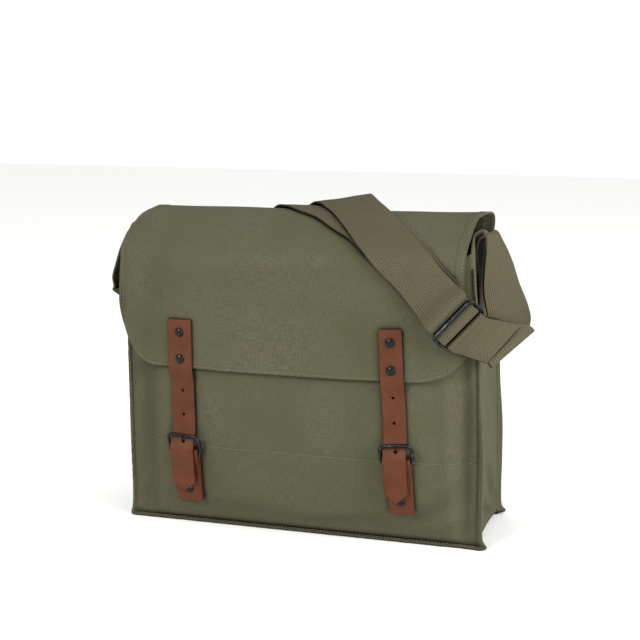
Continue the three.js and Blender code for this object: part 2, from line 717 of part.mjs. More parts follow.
function prongGeometry(tall, clearance) {
  const bar = -tall / 2;
  const radius = PRONG_WIRE / 2 + clearance;
  const rest = BUCKLE_WIRE / 2 + METAL_CLEAR + PRONG_WIRE / 2;
  const line = [
    point(0, -0.2 * PRONG_WIRE, bar + rest),
    ...PRONG_LINE.map(({ rise, out }) => point(0, out * PRONG_WIRE, bar + rise * tall)),
    point(0, -rest, tall / 2),
    point(0, -rest + 0.05 * PRONG_WIRE, tall / 2 + PRONG_WIRE),
  ];
  return asSolid(wireGeometry(line, radius, 8, false, radius * PRONG_TAPER));
}

function eyeSolid(tall) {
  const inner = BUCKLE_WIRE / 2 + METAL_CLEAR;
  const ring = (radius, width) => {
    const geometry = new THREE.CylinderGeometry(radius, radius, width, 14);
    geometry.rotateZ(Math.PI / 2);
    geometry.translate(0, 0, -tall / 2);
    return asSolid(geometry);
  };
  return ring(inner + PRONG_EYE_WALL, PRONG_EYE).subtract(ring(inner, 2 * PRONG_EYE));
}

function placeByMatrix(mesh, matrix) {
  matrix.decompose(mesh.position, mesh.quaternion, mesh.scale);
}

function buildClosure(closure) {
  const { name } = closure;
  const width = CLOSURE_WIDTHS[name];
  const plan = closurePlan(closure);
  const { matrix, tall } = buckleFrame(plan);

  const frame = frameLine(width.buckle - BUCKLE_WIRE, tall, BUCKLE_CORNER, BUCKLE_CORNER / 2);
  const frameWire = wireGeometry(frame, BUCKLE_WIRE / 2, 8, true);
  placeByMatrix(addPiece(`buckle_${name}`, frameWire, darkMetal), matrix);

  const prong = eyeSolid(tall).add(prongGeometry(tall, 0));
  placeByMatrix(addPiece(`prong_${name}`, fromSolid(prong), darkMetal), matrix);

  const slot = new THREE.BoxGeometry(PRONG_EYE + 2 * METAL_CLEAR, 4 * BUCKLE_WIRE, 3.5 * BUCKLE_WIRE);
  slot.translate(0, -0.6 * BUCKLE_WIRE, -tall / 2 + 0.3 * BUCKLE_WIRE);
  slot.applyMatrix4(matrix);
  const chapeCore = leatherGeometry(chapeRows(plan), plan.chapeX, width.chape, CHAPE_LEATHER, () => 0);
  const rivetZ = plan.chapeFoot + CHAPE_RIVET;
  const rivetHole = RIVET_SHANK + RIVET_CLEAR;
  const chapeSeat = CHAPE_FACE + RIVET_CLEAR;
  const chape = asSolid(chapeCore)
    .subtract(asSolid(slot))
    .subtract(cutterAt(plan.chapeX(rivetZ), rivetZ, chapeSeat, rivetHole));
  addPiece(`chape_${name}`, fromSolid(chape), brownLeather);
  addRivet(`rivet_${name}_chape`, plan.chapeX(rivetZ), rivetZ, chapeSeat, chapeSeat - STRAP_CLEAR);

  const tailCut = (t) => -TAIL_POINT * (1 - Math.abs(t));
  const strapCore = leatherGeometry(strapRows(plan), plan.strapX, width.strap, LEATHER, tailCut);
  const passage = prongGeometry(tall, METAL_CLEAR).transform(matrix.elements.slice());
  let strap = asSolid(strapCore).subtract(passage);
  const firstHole = plan.upperBar - BUCKLE_WIRE - PRONG_WIRE / 2;
  HOLE_PLACES.forEach((step) => {
    const z = firstHole + step * HOLE_PITCH;
    strap = strap.subtract(cutterAt(plan.strapX(z), z, TAIL_OFF / 2, HOLE_RADIUS));
  });
  ['upper', 'lower'].forEach((row, k) => {
    const z = plan.strapTop - RIVET_INSET - k * RIVET_PITCH;
    const face = STRAP_LOW + LEATHER / 2 + RIVET_CLEAR;
    strap = strap.subtract(cutterAt(plan.strapX(z), z, face, rivetHole));
    addRivet(`rivet_${name}_${row}`, plan.strapX(z), z, face, face - STRAP_CLEAR);
  });
  addPiece(`strap_${name}`, fromSolid(strap), brownLeather);
}

CLOSURES.forEach(buildClosure);

// Slider frame: its bars lie across the webbing, which runs down to the right over the flap, and
// its lower bar dips towards the bag's side.
const sliderTurn = THREE.MathUtils.degToRad(SLIDER_TURN);
const sliderSwing = THREE.MathUtils.degToRad(SLIDER_SWING);
const sliderDip = THREE.MathUtils.degToRad(SLIDER_DIP);
const upright = point(0, 0, 1);
const sliderAcross = point(Math.cos(sliderTurn), 0, Math.sin(sliderTurn))
  .applyAxisAngle(upright, sliderSwing);
const sliderRun = point(Math.sin(sliderTurn), 0, -Math.cos(sliderTurn))
  .applyAxisAngle(upright, sliderSwing)
  .applyAxisAngle(sliderAcross, sliderDip);
const sliderOut = point(0, -1, 0)
  .applyAxisAngle(upright, sliderSwing)
  .applyAxisAngle(sliderAcross, sliderDip);

// Webbing lies on the flap in layers, and turns round the slider's bars at one distance.
const layerOff = (layer) => WEB_CLEAR + WEB / 2 + layer * (WEB + WEB_CLEAR);
const BAR_TURN = SLIDER_WIRE / 2 + METAL_CLEAR + WEB / 2;
const SLIDER_OFF = layerOff(1) + BAR_TURN;
const sliderCentre = offWrap(SLIDER_X, wrapAt(SLIDER_X, SLIDER_Z, FRONT), SLIDER_OFF + SLIDER_STAND);

function bySlider(across, run, out) {
  return sliderCentre.clone()
    .addScaledVector(sliderAcross, across)
    .addScaledVector(sliderRun, run)
    .addScaledVector(sliderOut, out);
}

// A line of webbing is the straight or curved line across it, as points from edge to edge.
const ACROSS = shares(4);

function straightLine(left, right) {
  return ACROSS.map((share) => left.clone().lerp(right, share));
}

function lineBySlider(run, out, gather = 0) {
  const half = WEB_WIDTH / 2 * SLIDER_PINCH;
  return straightLine(bySlider(-half, run, out), bySlider(half + gather, run, out));
}

// The stiff webbing stands off the wrap where that bends sharply.
function bridgeOff(x, at) {
  return WEB_BRIDGE * wrapNormal(x, at - BEND_STEP).angleTo(wrapNormal(x, at + BEND_STEP));
}

// Line on the wrap between two places { x, at, lift }, a number of layers off the canvas.
function lineOnWrap(left, right, layer) {
  return ACROSS.map((share) => {
    const x = THREE.MathUtils.lerp(left.x, right.x, share);
    const at = THREE.MathUtils.lerp(left.at, right.at, share);
    const lift = THREE.MathUtils.lerp(left.lift, right.lift, share);
    return offWrap(x, at, layerOff(layer) + bridgeOff(x, at) + lift);
  });
}

// Turn round a slider bar, from one side of the frame to the other, as shares of the half turn.
function turnRoundBar(barRun, facing, outward) {
  return shares(4).map((share) => {
    const angle = Math.PI * share;
    const run = barRun + facing * BAR_TURN * Math.sin(angle);
    return lineBySlider(run, outward * BAR_TURN * Math.cos(angle));
  });
}

// Closed band through lines of webbing, half its thickness to each side of them.
function webbingGeometry(lines) {
  const last = lines.length - 1;
  const normals = lines.map((line, i) => line.map((unused, j) => {
    const run = lines[Math.min(i + 1, last)][j].clone().sub(lines[Math.max(i - 1, 0)][j]);
    const side = line[Math.min(j + 1, line.length - 1)].clone().sub(line[Math.max(j - 1, 0)]);
    return run.cross(side).normalize();
  }));
  const place = (off) => lines.map((line, i) => line.map((at, j) => {
    return at.clone().addScaledVector(normals[i][j], off);
  }));
  return sheetGeometry(place(WEB / 2), place(-WEB / 2));
}

// Loops of webbing beside the bag: sewn on the gusset, turned out at the top, fallen to a fold.
// out is a share of the loop's reach from the gusset, drop of its fall, and fore runs to the front.
function gussetLine(side, z) {
  return ACROSS.map((share) => {
    const y = (share - 0.5) * WEB_WIDTH;
    return point(gussetSurface(side, y, z) + side * (SEWN_CLEAR + WEB / 2), y, z);
  });
}

function loopLines(side, rows) {
  const foot = gussetSurface(side, 0, LOOP_TOP * 0.95);
  const edge = ([out, fore, drop]) => point(
    foot + side * out * LOOP_REACH,
    -fore * WEB_WIDTH / 2,
    LOOP_TOP - drop * LOOP_DROP,
  );
  return rows.map((row) => straightLine(edge(row.front), edge(row.back)));
}

const SEWN_ROWS = [0.78, 0.55, 0.3, 0.13];
const sewnLines = (side) => SEWN_ROWS.map((drop) => gussetLine(side, LOOP_TOP - drop * LOOP_DROP));

// Right loop, then its fold: each row gives the front and the back edge as [out, fore, drop].
const RIGHT_LOOP = [
  { front: [0.10, 1.00, 0.045], back: [0.12, -1.00, 0.045] },
  { front: [0.20, 1.00, 0.015], back: [0.24, -1.00, 0.020] },
  { front: [0.23, 1.00, 0.120], back: [0.41, -0.98, 0.130] },
  { front: [0.21, 1.06, 0.320], back: [0.61, -0.88, 0.310] },
  { front: [0.23, 1.40, 0.520], back: [0.80, -0.46, 0.510] },
  { front: [0.37, 1.95, 0.760], back: [1.05, 0.30, 0.690] },
  { front: [0.45, 2.50, 0.985], back: [1.18, 0.95, 0.790] },
  { front: [0.54, 3.08, 1.190], back: [1.25, 1.52, 0.890] },
];

// Left loop, and after its fold the turn round the bag's back corner.
const LEFT_LOOP = [
  { front: [0.10, 1.00, 0.045], back: [0.10, -1.00, 0.045] },
  { front: [0.22, 1.00, 0.010], back: [0.25, -1.00, 0.010] },
  { front: [0.33, 1.00, 0.080], back: [0.42, -1.00, 0.080] },
  { front: [0.56, 0.95, 0.270], back: [0.67, -1.02, 0.310] },
  { front: [0.70, 0.92, 0.450], back: [0.79, -1.04, 0.530] },
  { front: [0.80, 0.90, 0.610], back: [0.87, -1.06, 0.770] },
  { front: [0.79, 0.88, 0.720], back: [0.89, -1.06, 0.930] },
];
const LEFT_TURN = [
  { front: [0.64, -0.92, 0.665], back: [0.76, -1.84, 1.060] },
  { front: [0.36, -2.55, 0.670], back: [0.36, -2.62, 1.165] },
];

// Fold of the webbing across a line: it turns back through half a circle to the side named by out.
const FOLD_RADIUS = WEB / 2 + FOLD_EASE;

function foldLines(line, next, out) {
  const crease = line[line.length - 1].clone().sub(line[0]).normalize();
  const away = line[2].clone().sub(next);
  away.addScaledVector(crease, -away.dot(crease)).normalize();
  const lift = away.clone().cross(crease).normalize();
  if (lift.dot(out) < 0) lift.negate();
  return shares(4).slice(1).map((share) => {
    const angle = Math.PI * share;
    return line.map((p) => p.clone()
      .addScaledVector(away, FOLD_RADIUS * Math.sin(angle))
      .addScaledVector(lift, FOLD_RADIUS * (1 - Math.cos(angle))));
  });
}

function between(first, second, share) {
  return first.map((p, k) => p.clone().lerp(second[k], share));
}

// Short strap: gusset, loop, fold, then round the slider's lower bar and back to its sewn end.
const lowerBarRun = SLIDER_LENGTH / 2;
const rightFall = [...sewnLines(RIGHT), ...loopLines(RIGHT, RIGHT_LOOP)];
const rightCrease = rightFall[rightFall.length - 1];
const outToFront = point(0.5, -0.8, 0.4).normalize();
const rightFold = foldLines(rightCrease, bySlider(0, lowerBarRun, 0), outToFront);
const afterFold = rightFold[rightFold.length - 1];
const pastBar = lowerBarRun + 0.16 * SLIDER_LENGTH;
const approach = lineBySlider(pastBar, -BAR_TURN);
const leaving = lineBySlider(pastBar, BAR_TURN);
const doubled = afterFold.map((p) => p.clone().addScaledVector(outToFront, WEB + WEB_CLEAR));
const sewnEnd = leaving.map((p, k) => {
  return p.clone().lerp(doubled[k], THREE.MathUtils.lerp(0.87, 0.7, ACROSS[k]));
});
const shortLines = [
  ...rightFall,
  ...rightFold,
  between(afterFold, approach, 0.35),
  between(afterFold, approach, 0.7),
  approach,
  ...turnRoundBar(lowerBarRun, -1, -1),
  leaving,
  between(leaving, doubled, 0.3),
  between(leaving, doubled, 0.6),
  sewnEnd,
];
addPiece('short_strap', webbingGeometry(shortLines), webbingCloth);

// Long strap over the bag, from the left back corner to the slider: the edges of its upper layer
// as [share of the half width, place on the wrap, share of the lift].
const OVER_BAG = [
  { left: [-0.914, 0.110, 0], right: [-0.850, 0.036, 0] },
  { left: [-0.726, 0.128, 0], right: [-0.640, 0.051, 0] },
  { left: [-0.553, 0.156, 0], right: [-0.438, 0.075, 0] },
  { left: [-0.398, 0.196, 0], right: [-0.255, 0.105, 0] },
  { left: [-0.269, 0.245, 0], right: [-0.094, 0.147, 0.1] },
  { left: [-0.156, 0.314, 0], right: [0.047, 0.209, 0.42] },
  { left: [-0.060, 0.393, 0.1], right: [0.165, 0.293, 0.70] },
  { left: [0.034, 0.468, 0], right: [0.259, 0.403, 0.75] },
  { left: [0.123, 0.532, 0], right: [0.336, 0.470, 0.52] },
  { left: [0.215, 0.600, 0], right: [0.409, 0.513, 0.3] },
  { left: [0.294, 0.658, 0], right: [0.484, 0.559, 0.15] },
  { left: [0.368, 0.709, 0], right: [0.555, 0.604, 0.02] },
  { left: [0.464, 0.761, 0], right: [0.632, 0.655, 0] },
  { left: [0.576, 0.813, 0.05], right: [0.736, 0.724, 0.05] },
  { left: [0.675, 0.856, 0.28], right: [0.851, 0.786, 0.24] },
];

// The returning layer beneath it, from the slider to its free end low on the back.
const UNDER_LAYER = [
  { left: [0.676, 0.859, 0.18], right: [0.868, 0.788, 0.14] },
  { left: [0.576, 0.817, 0.02], right: [0.756, 0.724, 0.02] },
  { left: [0.475, 0.762, 0], right: [0.661, 0.654, 0] },
  { left: [0.376, 0.710, 0], right: [0.562, 0.617, 0] },
  { left: [0.263, 0.648, 0], right: [0.456, 0.561, 0] },
  { left: [0.153, 0.603, 0], right: [0.348, 0.515, 0] },
  { left: [0.014, 0.534, 0], right: [0.203, 0.452, 0] },
  { left: [-0.101, 0.491, 0], right: [0.088, 0.389, 0] },
  { left: [-0.194, 0.438, 0], right: [0.004, 0.307, 0] },
  { left: [-0.282, 0.376, 0], right: [-0.087, 0.240, 0] },
  { left: [-0.383, 0.290, 0], right: [-0.197, 0.180, 0] },
  { left: [-0.487, 0.215, 0], right: [-0.311, 0.126, 0] },
];

function bagLines(rows, layer) {
  const edge = (side, share) => {
    const read = (column) => along(rows.map((row) => ({ value: row[side][column] })), 'value', share);
    return { x: read(0) * BAG_WIDTH / 2, at: read(1), lift: Math.max(0, read(2)) * WEB_LIFT };
  };
  const count = Math.round((rows.length - 1) * 1.7);
  return shares(count).map((share) => lineOnWrap(edge('left', share), edge('right', share), layer));
}

const leftFall = [...sewnLines(LEFT), ...loopLines(LEFT, LEFT_LOOP)];
const leftCrease = leftFall[leftFall.length - 1];
const overLines = bagLines(OVER_BAG, 1);
const leftTurn = loopLines(LEFT, LEFT_TURN);
const leftFold = foldLines(leftCrease, leftTurn[0][2], point(1, 0, 0));
const upperBarRun = -SLIDER_LENGTH / 2;
const leadRun = upperBarRun - SLIDER_LEAD;
const underBar = -BAR_TURN - WEB - WEB_CLEAR;
const longLines = [
  ...leftFall,
  ...leftFold,
  ...leftTurn,
  ...overLines,
  lineBySlider(leadRun, -BAR_TURN - SEWN_CLEAR, SLIDER_GATHER),
  lineBySlider(upperBarRun, -BAR_TURN),
  lineBySlider(upperBarRun / 2, 0),
  ...turnRoundBar(0, 1, 1),
  lineBySlider(upperBarRun, underBar),
  lineBySlider(leadRun, underBar - SEWN_CLEAR, SLIDER_GATHER),
  ...bagLines(UNDER_LAYER, 0),
];
addPiece('long_strap', webbingGeometry(longLines), webbingCloth);

// Slider: a three-bar frame of one wire, its centre bar joined in.
function sliderSolid() {
  const length = SLIDER_LENGTH;
  const width = WEB_WIDTH * SLIDER_PINCH + 2 * SLIDER_SLACK + SLIDER_WIRE;
  const outline = frameLine(width, length, SLIDER_CORNER, SLIDER_CORNER);
  const frame = asSolid(wireGeometry(outline, SLIDER_WIRE / 2, 8, true));
  const bar = new THREE.CylinderGeometry(SLIDER_WIRE / 2, SLIDER_WIRE / 2, width, 8);
  bar.rotateZ(Math.PI / 2);
  return frame.add(asSolid(bar));
}

const slider = addPiece('slider', fromSolid(sliderSolid()), darkMetal);
const sliderBasis = new THREE.Matrix4().makeBasis(
  sliderAcross,
  sliderOut.clone().negate(),
  sliderRun.clone().negate(),
);
sliderBasis.setPosition(sliderCentre);
placeByMatrix(slider, sliderBasis);

export default bag;
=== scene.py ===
import math
from bisect import bisect_left
from functools import lru_cache

import bmesh
import bpy
from mathutils import Matrix, Vector, noise


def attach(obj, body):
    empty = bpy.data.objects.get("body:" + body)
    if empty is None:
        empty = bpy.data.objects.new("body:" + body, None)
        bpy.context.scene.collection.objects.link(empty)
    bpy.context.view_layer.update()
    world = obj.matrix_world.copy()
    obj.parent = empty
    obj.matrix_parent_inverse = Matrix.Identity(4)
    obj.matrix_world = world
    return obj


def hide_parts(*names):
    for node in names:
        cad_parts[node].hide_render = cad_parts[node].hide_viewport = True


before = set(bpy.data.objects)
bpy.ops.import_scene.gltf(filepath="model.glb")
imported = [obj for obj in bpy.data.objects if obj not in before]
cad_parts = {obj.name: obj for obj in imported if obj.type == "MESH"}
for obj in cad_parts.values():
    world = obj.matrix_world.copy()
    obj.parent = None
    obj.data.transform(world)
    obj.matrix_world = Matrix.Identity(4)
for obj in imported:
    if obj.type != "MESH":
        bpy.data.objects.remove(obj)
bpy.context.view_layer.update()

# Camera: a little above the bag and to its right, far enough away for the flat look of a
# catalogue photograph. Sizes in this file are millimetres until a mesh takes them in metres.
MM = 0.001
CAMERA_PLACE = Vector((350.2, -1147.9, 414.8)) * MM
CAMERA_AIM = Vector((3.66, 0, 186.1)) * MM
camera_lens = bpy.data.cameras.new("camera")
camera_lens.lens = 74.96
camera_lens.sensor_width = 36
camera = bpy.data.objects.new("camera", camera_lens)
camera.location = CAMERA_PLACE
camera.rotation_euler = (CAMERA_AIM - CAMERA_PLACE).to_track_quat("-Z", "Y").to_euler()
bpy.context.collection.objects.link(camera)
bpy.context.scene.camera = camera


# Studio: a matt white floor, and soft light from large lamps and a white room. The key lamp
# stands high at the front left, and a weak one fills the bag's right side.
def linear(code):
    """Linear colour of an sRGB hex value."""
    shares = [int(code[k:k + 2], 16) / 255 for k in (1, 3, 5)]
    turned = [s / 12.92 if s <= 0.04045 else ((s + 0.055) / 1.055) ** 2.4 for s in shares]
    return (*turned, 1)


def add(material, kind, inputs=None, **settings):
    """Adds a node with its settings. An input is a value, or the output that feeds it."""
    node = material.node_tree.nodes.new(kind)
    for name, value in settings.items():
        setattr(node, name, value)
    for name, value in (inputs or {}).items():
        if isinstance(value, bpy.types.NodeSocket):
            material.node_tree.links.new(value, node.inputs[name])
        else:
            node.inputs[name].default_value = value
    return node


def new_material(name):
    """An empty node material and its surface output."""
    material = bpy.data.materials.new(name)
    material.use_nodes = True
    material.node_tree.nodes.clear()
    return material, add(material, "ShaderNodeOutputMaterial")


def lamp(name, place, power, size):
    """A square soft lamp that looks at the middle of the bag."""
    light = bpy.data.lights.new(name, "AREA")
    light.energy = power
    light.size = size
    stand = bpy.data.objects.new(name, light)
    stand.location = place
    stand.rotation_euler = (CAMERA_AIM - Vector(place)).to_track_quat("-Z", "Y").to_euler()
    bpy.context.collection.objects.link(stand)


lamp("key_lamp", (-0.7, -1.7, 1.35), 27, 0.6)
lamp("fill_lamp", (1.9, -0.6, 0.8), 43, 1.0)

room = bpy.data.worlds.new("white_room")
room.use_nodes = True
room.node_tree.nodes["Background"].inputs["Color"].default_value = (1, 1, 1, 1)
room.node_tree.nodes["Background"].inputs["Strength"].default_value = 1.0
bpy.context.scene.world = room
bpy.context.scene.view_settings.view_transform = "Standard"

floor_mesh = bmesh.new()
bmesh.ops.create_grid(floor_mesh, x_segments=1, y_segments=1, size=4)
floor_data = bpy.data.meshes.new("floor")
floor_mesh.to_mesh(floor_data)
floor_mesh.free()
floor = bpy.data.objects.new("floor", floor_data)
bpy.context.collection.objects.link(floor)
floor_paint, floor_output = new_material("matt_white_floor_paint")
paint_shader = add(floor_paint, "ShaderNodeBsdfPrincipled", {
    "Base Color": linear("#f4f4f2"), "Roughness": 0.9})
floor_paint.node_tree.links.new(paint_shader.outputs[0], floor_output.inputs["Surface"])
floor_data.materials.append(floor_paint)

# Front panel: one width of heavy cotton canvas, bulged by what the bag can hold. It is sewn to
# the gusset down both sides and along the bottom, and a row of stitches crosses it low down.
BAG_WIDTH = 331
BAG_HEIGHT = 285
HALF_DEPTH = 97 / 2
CANVAS = 1.8
FRONT_BULGE = 21
BACK_BULGE = 9
TOP_LEAN = -6.5
FRONT_RIM = 0.885
FRONT_CORNER_RISE = 0.027
BACK_RIM = 0.935
BODY_FORM = {
    "height": (0, 0.012, 0.035, 0.08, 0.16, 0.27, 0.42, 0.56, 0.70, 0.80, 0.885, 0.955),
    "half": (0.991, 0.989, 0.986, 0.981, 0.984, 0.985, 0.982, 0.978, 0.968, 0.960, 0.952, 0.948),
    "front": (0, 0.02, 0.24, 0.50, 0.72, 0.88, 0.98, 1, 0.98, 0.92, 0.72, 0.50),
    "back": (0, 0.04, 0.24, 0.50, 0.72, 0.90, 1, 1, 0.95, 0.80, 0.55, 0.20),
}
FORM_SOFTNESS = 0.03


def mix(start, end, share):
    return start + (end - start) * share


def hold(value, low, high):
    return min(max(value, low), high)


def form_step(column, share):
    """Straight-line reading of the body form at a share of the height."""
    heights = BODY_FORM["height"]
    values = BODY_FORM[column]
    share = hold(share, heights[0], heights[-1])
    upper = next(k for k in range(1, len(heights)) if heights[k] >= share)
    t = (share - heights[upper - 1]) / (heights[upper] - heights[upper - 1])
    return mix(values[upper - 1], values[upper], t)


def form_at(column, z):
    """The body form with its corners eased, since cloth has none."""
    share = z / BAG_HEIGHT
    ease = min(FORM_SOFTNESS, max(share, 0))
    return sum(form_step(column, share + ease * k / 2) for k in (-2, -1, 0, 1, 2)) / 5


def lean_at(z):
    return TOP_LEAN * (z / BAG_HEIGHT) ** 2


def half_at(z):
    return form_at("half", z) * BAG_WIDTH / 2


def across_body(x, z):
    return hold((x - lean_at(z)) / half_at(z), -1, 1)


def front_surface(x, z):
    return -HALF_DEPTH - FRONT_BULGE * (1 - across_body(x, z) ** 4) * form_at("front", z)


def folds_at(folds, x, z):
    """Height of soft folds at a place: each is a ridge, or a groove if its rise is negative."""
    total = 0
    for fold in folds:
        turn = math.radians(fold["turn"])
        run = (x - fold["x"]) * math.cos(turn) + (z - fold["z"]) * math.sin(turn)
        side = (z - fold["z"]) * math.cos(turn) - (x - fold["x"]) * math.sin(turn)
        total += fold["rise"] * math.exp(-((run / fold["long"]) ** 2) - (side / fold["wide"]) ** 2)
    return total


def slackness(x, z, seed):
    """Unevenness of cloth that is not stretched, in broad waves and smaller ones."""
    broad = noise.noise(Vector((x / 62, z / 74, seed)))
    small = noise.noise(Vector((x / 21, z / 23, seed + 9)))
    return 0.75 * broad + 0.22 * small


def lay_cloth(name, place, columns, rows, width, wall=CANVAS, offset=-1, one_rule=False):
    """A cloth piece of columns by rows squares, carried to place(across, along) in millimetres.
    Its UV map is in metres along the cloth; one_rule measures every column by the middle one."""
    mesh = bmesh.new()
    flat = mesh.loops.layers.uv.new("cloth")
    bmesh.ops.create_grid(mesh, x_segments=columns, y_segments=rows, size=0.5)
    spots = [(round((v.co.x + 0.5) * columns), round((v.co.y + 0.5) * rows)) for v in mesh.verts]
    laid = {spot: place(spot[0] / columns, spot[1] / rows) for spot in spots}
    for vert, spot in zip(mesh.verts, spots):
        vert.co = laid[spot] * MM
    length = {(column, 0): 0 for column in range(columns + 1)}
    for column in range(columns + 1):
        for row in range(rows):
            step = (laid[column, row + 1] - laid[column, row]).length
            length[column, row + 1] = length[column, row] + step
    mesh.verts.index_update()
    for face in mesh.faces:
        face.smooth = True
        for loop in face.loops:
            column, row = spots[loop.vert.index]
            ruler = columns // 2 if one_rule else column
            loop[flat].uv = (column / columns * width * MM, length[ruler, row] * MM)
    data = bpy.data.meshes.new(name)
    mesh.to_mesh(data)
    mesh.free()
    piece = bpy.data.objects.new(name, data)
    bpy.context.collection.objects.link(piece)
    thick = piece.modifiers.new("wall", "SOLIDIFY")
    thick.thickness = wall * MM
    thick.offset = offset
    rounded = piece.modifiers.new("rounded_edge", "BEVEL")
    rounded.width = 0.3 * wall * MM
    rounded.segments = 2
    rounded.limit_method = "ANGLE"
    rounded.angle_limit = math.radians(55)
    return piece


def paint_shade_marks(piece, shade_spots, sideways=0):
    """Notes on each vertex how much painted shade it gets from the listed shade bands, for the canvas
    colour to darken by. sideways is the axis across the piece."""
    depth = piece.data.attributes.new("painted_shade", "FLOAT", "POINT")
    for vertex, mark in zip(piece.data.vertices, depth.data):
        mark.value = -folds_at(shade_spots, vertex.co[sideways] / MM, vertex.co.z / MM)


def seat(piece, material, slot, *nodes):
    """Gives a piece its material, and sets it in the place of the CAD nodes it stands for."""
    piece.data.materials.clear()
    piece.data.materials.append(material)
    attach(piece, "root")
    if nodes:
        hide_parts(*nodes)


# Olive drab cotton duck, piece dyed: a plain weave that gives a matt face with a faint grid, and
# slubs that catch the light. Deep in folds, creases and gaps its colour is painted darker, as shade.
# Its threads are 0.55 mm apart, and are drawn 1.3 mm apart to show.
CANVAS_DYE = "#484733"
CANVAS_LIGHT = "#5b5848"
CANVAS_DARK = "#3b3c29"
# Painted shade: the next line is the near-black colour that creases and shade bands are painted towards.
CANVAS_PAINTED_SHADE = "#18180f"
# Painted shade: how deep a shade mark must be to darken fully, and how far it darkens the colour.
PAINTED_SHADE_FULL = 6
PAINTED_SHADE_STRENGTH = 0.6
SLUB_FINE = 1.6
# Painted shade: how far from a crease the occlusion darkening reaches.
PAINTED_SHADE_REACH = 6
THREAD_SPACING = 1.3
SLUB_LENGTH = 8
WEAVE_DEPTH = 0.6
FADE_SIZE = 70


def canvas_material(name, coordinates):
    """Canvas whose weave follows the named coordinates."""
    material, output = new_material(name)
    place = add(material, "ShaderNodeTexCoord").outputs[coordinates]
    threads = 2 * math.pi / (THREAD_SPACING * MM)
    split = add(material, "ShaderNodeSeparateXYZ", {"Vector": place})
    waves = []
    for axis in split.outputs[:2]:
        turned = add(material, "ShaderNodeMath", {0: axis, 1: threads}, operation="MULTIPLY")
        waves.append(add(material, "ShaderNodeMath", {0: turned.outputs[0]}, operation="SINE").outputs[0])
    crossed = add(material, "ShaderNodeMath", {0: waves[0], 1: waves[1]}, operation="MULTIPLY")
    weave = add(material, "ShaderNodeMath", {0: crossed.outputs[0], 1: WEAVE_DEPTH}, operation="MULTIPLY")
    slub_stretch = []
    for stretch in (
            (1 / SLUB_LENGTH, SLUB_FINE, SLUB_FINE), (SLUB_FINE, 1 / SLUB_LENGTH, SLUB_FINE)):
        scaled = add(material, "ShaderNodeMapping", {"Vector": place, "Scale": [s / MM for s in stretch]})
        slub = add(material, "ShaderNodeTexNoise", {
            "Vector": scaled.outputs[0], "Scale": 1.0, "Detail": 2.0})
        slub_stretch.append(slub.outputs["Fac"])
    slubs = add(material, "ShaderNodeMath", {0: slub_stretch[0], 1: slub_stretch[1]}, operation="ADD")
    fade = add(material, "ShaderNodeTexNoise", {
        "Vector": place, "Scale": 1 / (FADE_SIZE * MM), "Detail": 3.0})
    fade_range = add(material, "ShaderNodeMapRange", {
        "Value": fade.outputs["Fac"], "From Min": 0.3, "From Max": 0.7})
    speck_range = add(material, "ShaderNodeMapRange", {
        "Value": slubs.outputs[0], "From Min": 0.6, "From Max": 1.4, "To Min": 0.0, "To Max": 1.0})
    dyed = add(material, "ShaderNodeMix", {
        0: speck_range.outputs[0], 6: linear(CANVAS_DARK), 7: linear(CANVAS_LIGHT)}, data_type="RGBA")
    patchy = add(material, "ShaderNodeMix", {
        0: fade_range.outputs[0], 6: dyed.outputs[2], 7: linear(CANVAS_DYE)}, data_type="RGBA")
    # Painted shade: ambient occlusion darkens the colour in creases, under the flap's edge and along the
    # seams.
    shade_probe = add(material, "ShaderNodeAmbientOcclusion", {"Distance": PAINTED_SHADE_REACH * MM}, samples=6)
    unshaded_share = add(material, "ShaderNodeMapRange", {
        "Value": shade_probe.outputs["AO"], "From Min": 0.52, "From Max": 0.88})
    ao_shaded = add(material, "ShaderNodeMix", {
        0: unshaded_share.outputs[0], 6: linear(CANVAS_PAINTED_SHADE), 7: patchy.outputs[2]}, data_type="RGBA")
    relief = add(material, "ShaderNodeMath", {0: weave.outputs[0], 1: slubs.outputs[0]}, operation="ADD")
    bump = add(material, "ShaderNodeBump", {
        "Height": relief.outputs[0], "Strength": 0.45, "Distance": 0.3 * MM})
    # Painted shade: each vertex's shade mark darkens the colour further towards near black.
    painted_shade = add(material, "ShaderNodeAttribute", attribute_name="painted_shade")
    painted_shade_range = add(material, "ShaderNodeMapRange", {
        "Value": painted_shade.outputs["Fac"], "From Min": 0.0, "From Max": PAINTED_SHADE_FULL,
        "To Min": 0.0, "To Max": PAINTED_SHADE_STRENGTH})
    shade_marked = add(material, "ShaderNodeMix", {
        0: painted_shade_range.outputs[0], 6: ao_shaded.outputs[2], 7: linear(CANVAS_PAINTED_SHADE)}, data_type="RGBA")
    shader = add(material, "ShaderNodeBsdfPrincipled", {
        "Base Color": shade_marked.outputs[2], "Normal": bump.outputs[0], "Roughness": 0.95,
        "Specular IOR Level": 0.15})
    material.node_tree.links.new(shader.outputs[0], output.inputs["Surface"])
    return material


canvas = canvas_material("olive_cotton_canvas", "UV")

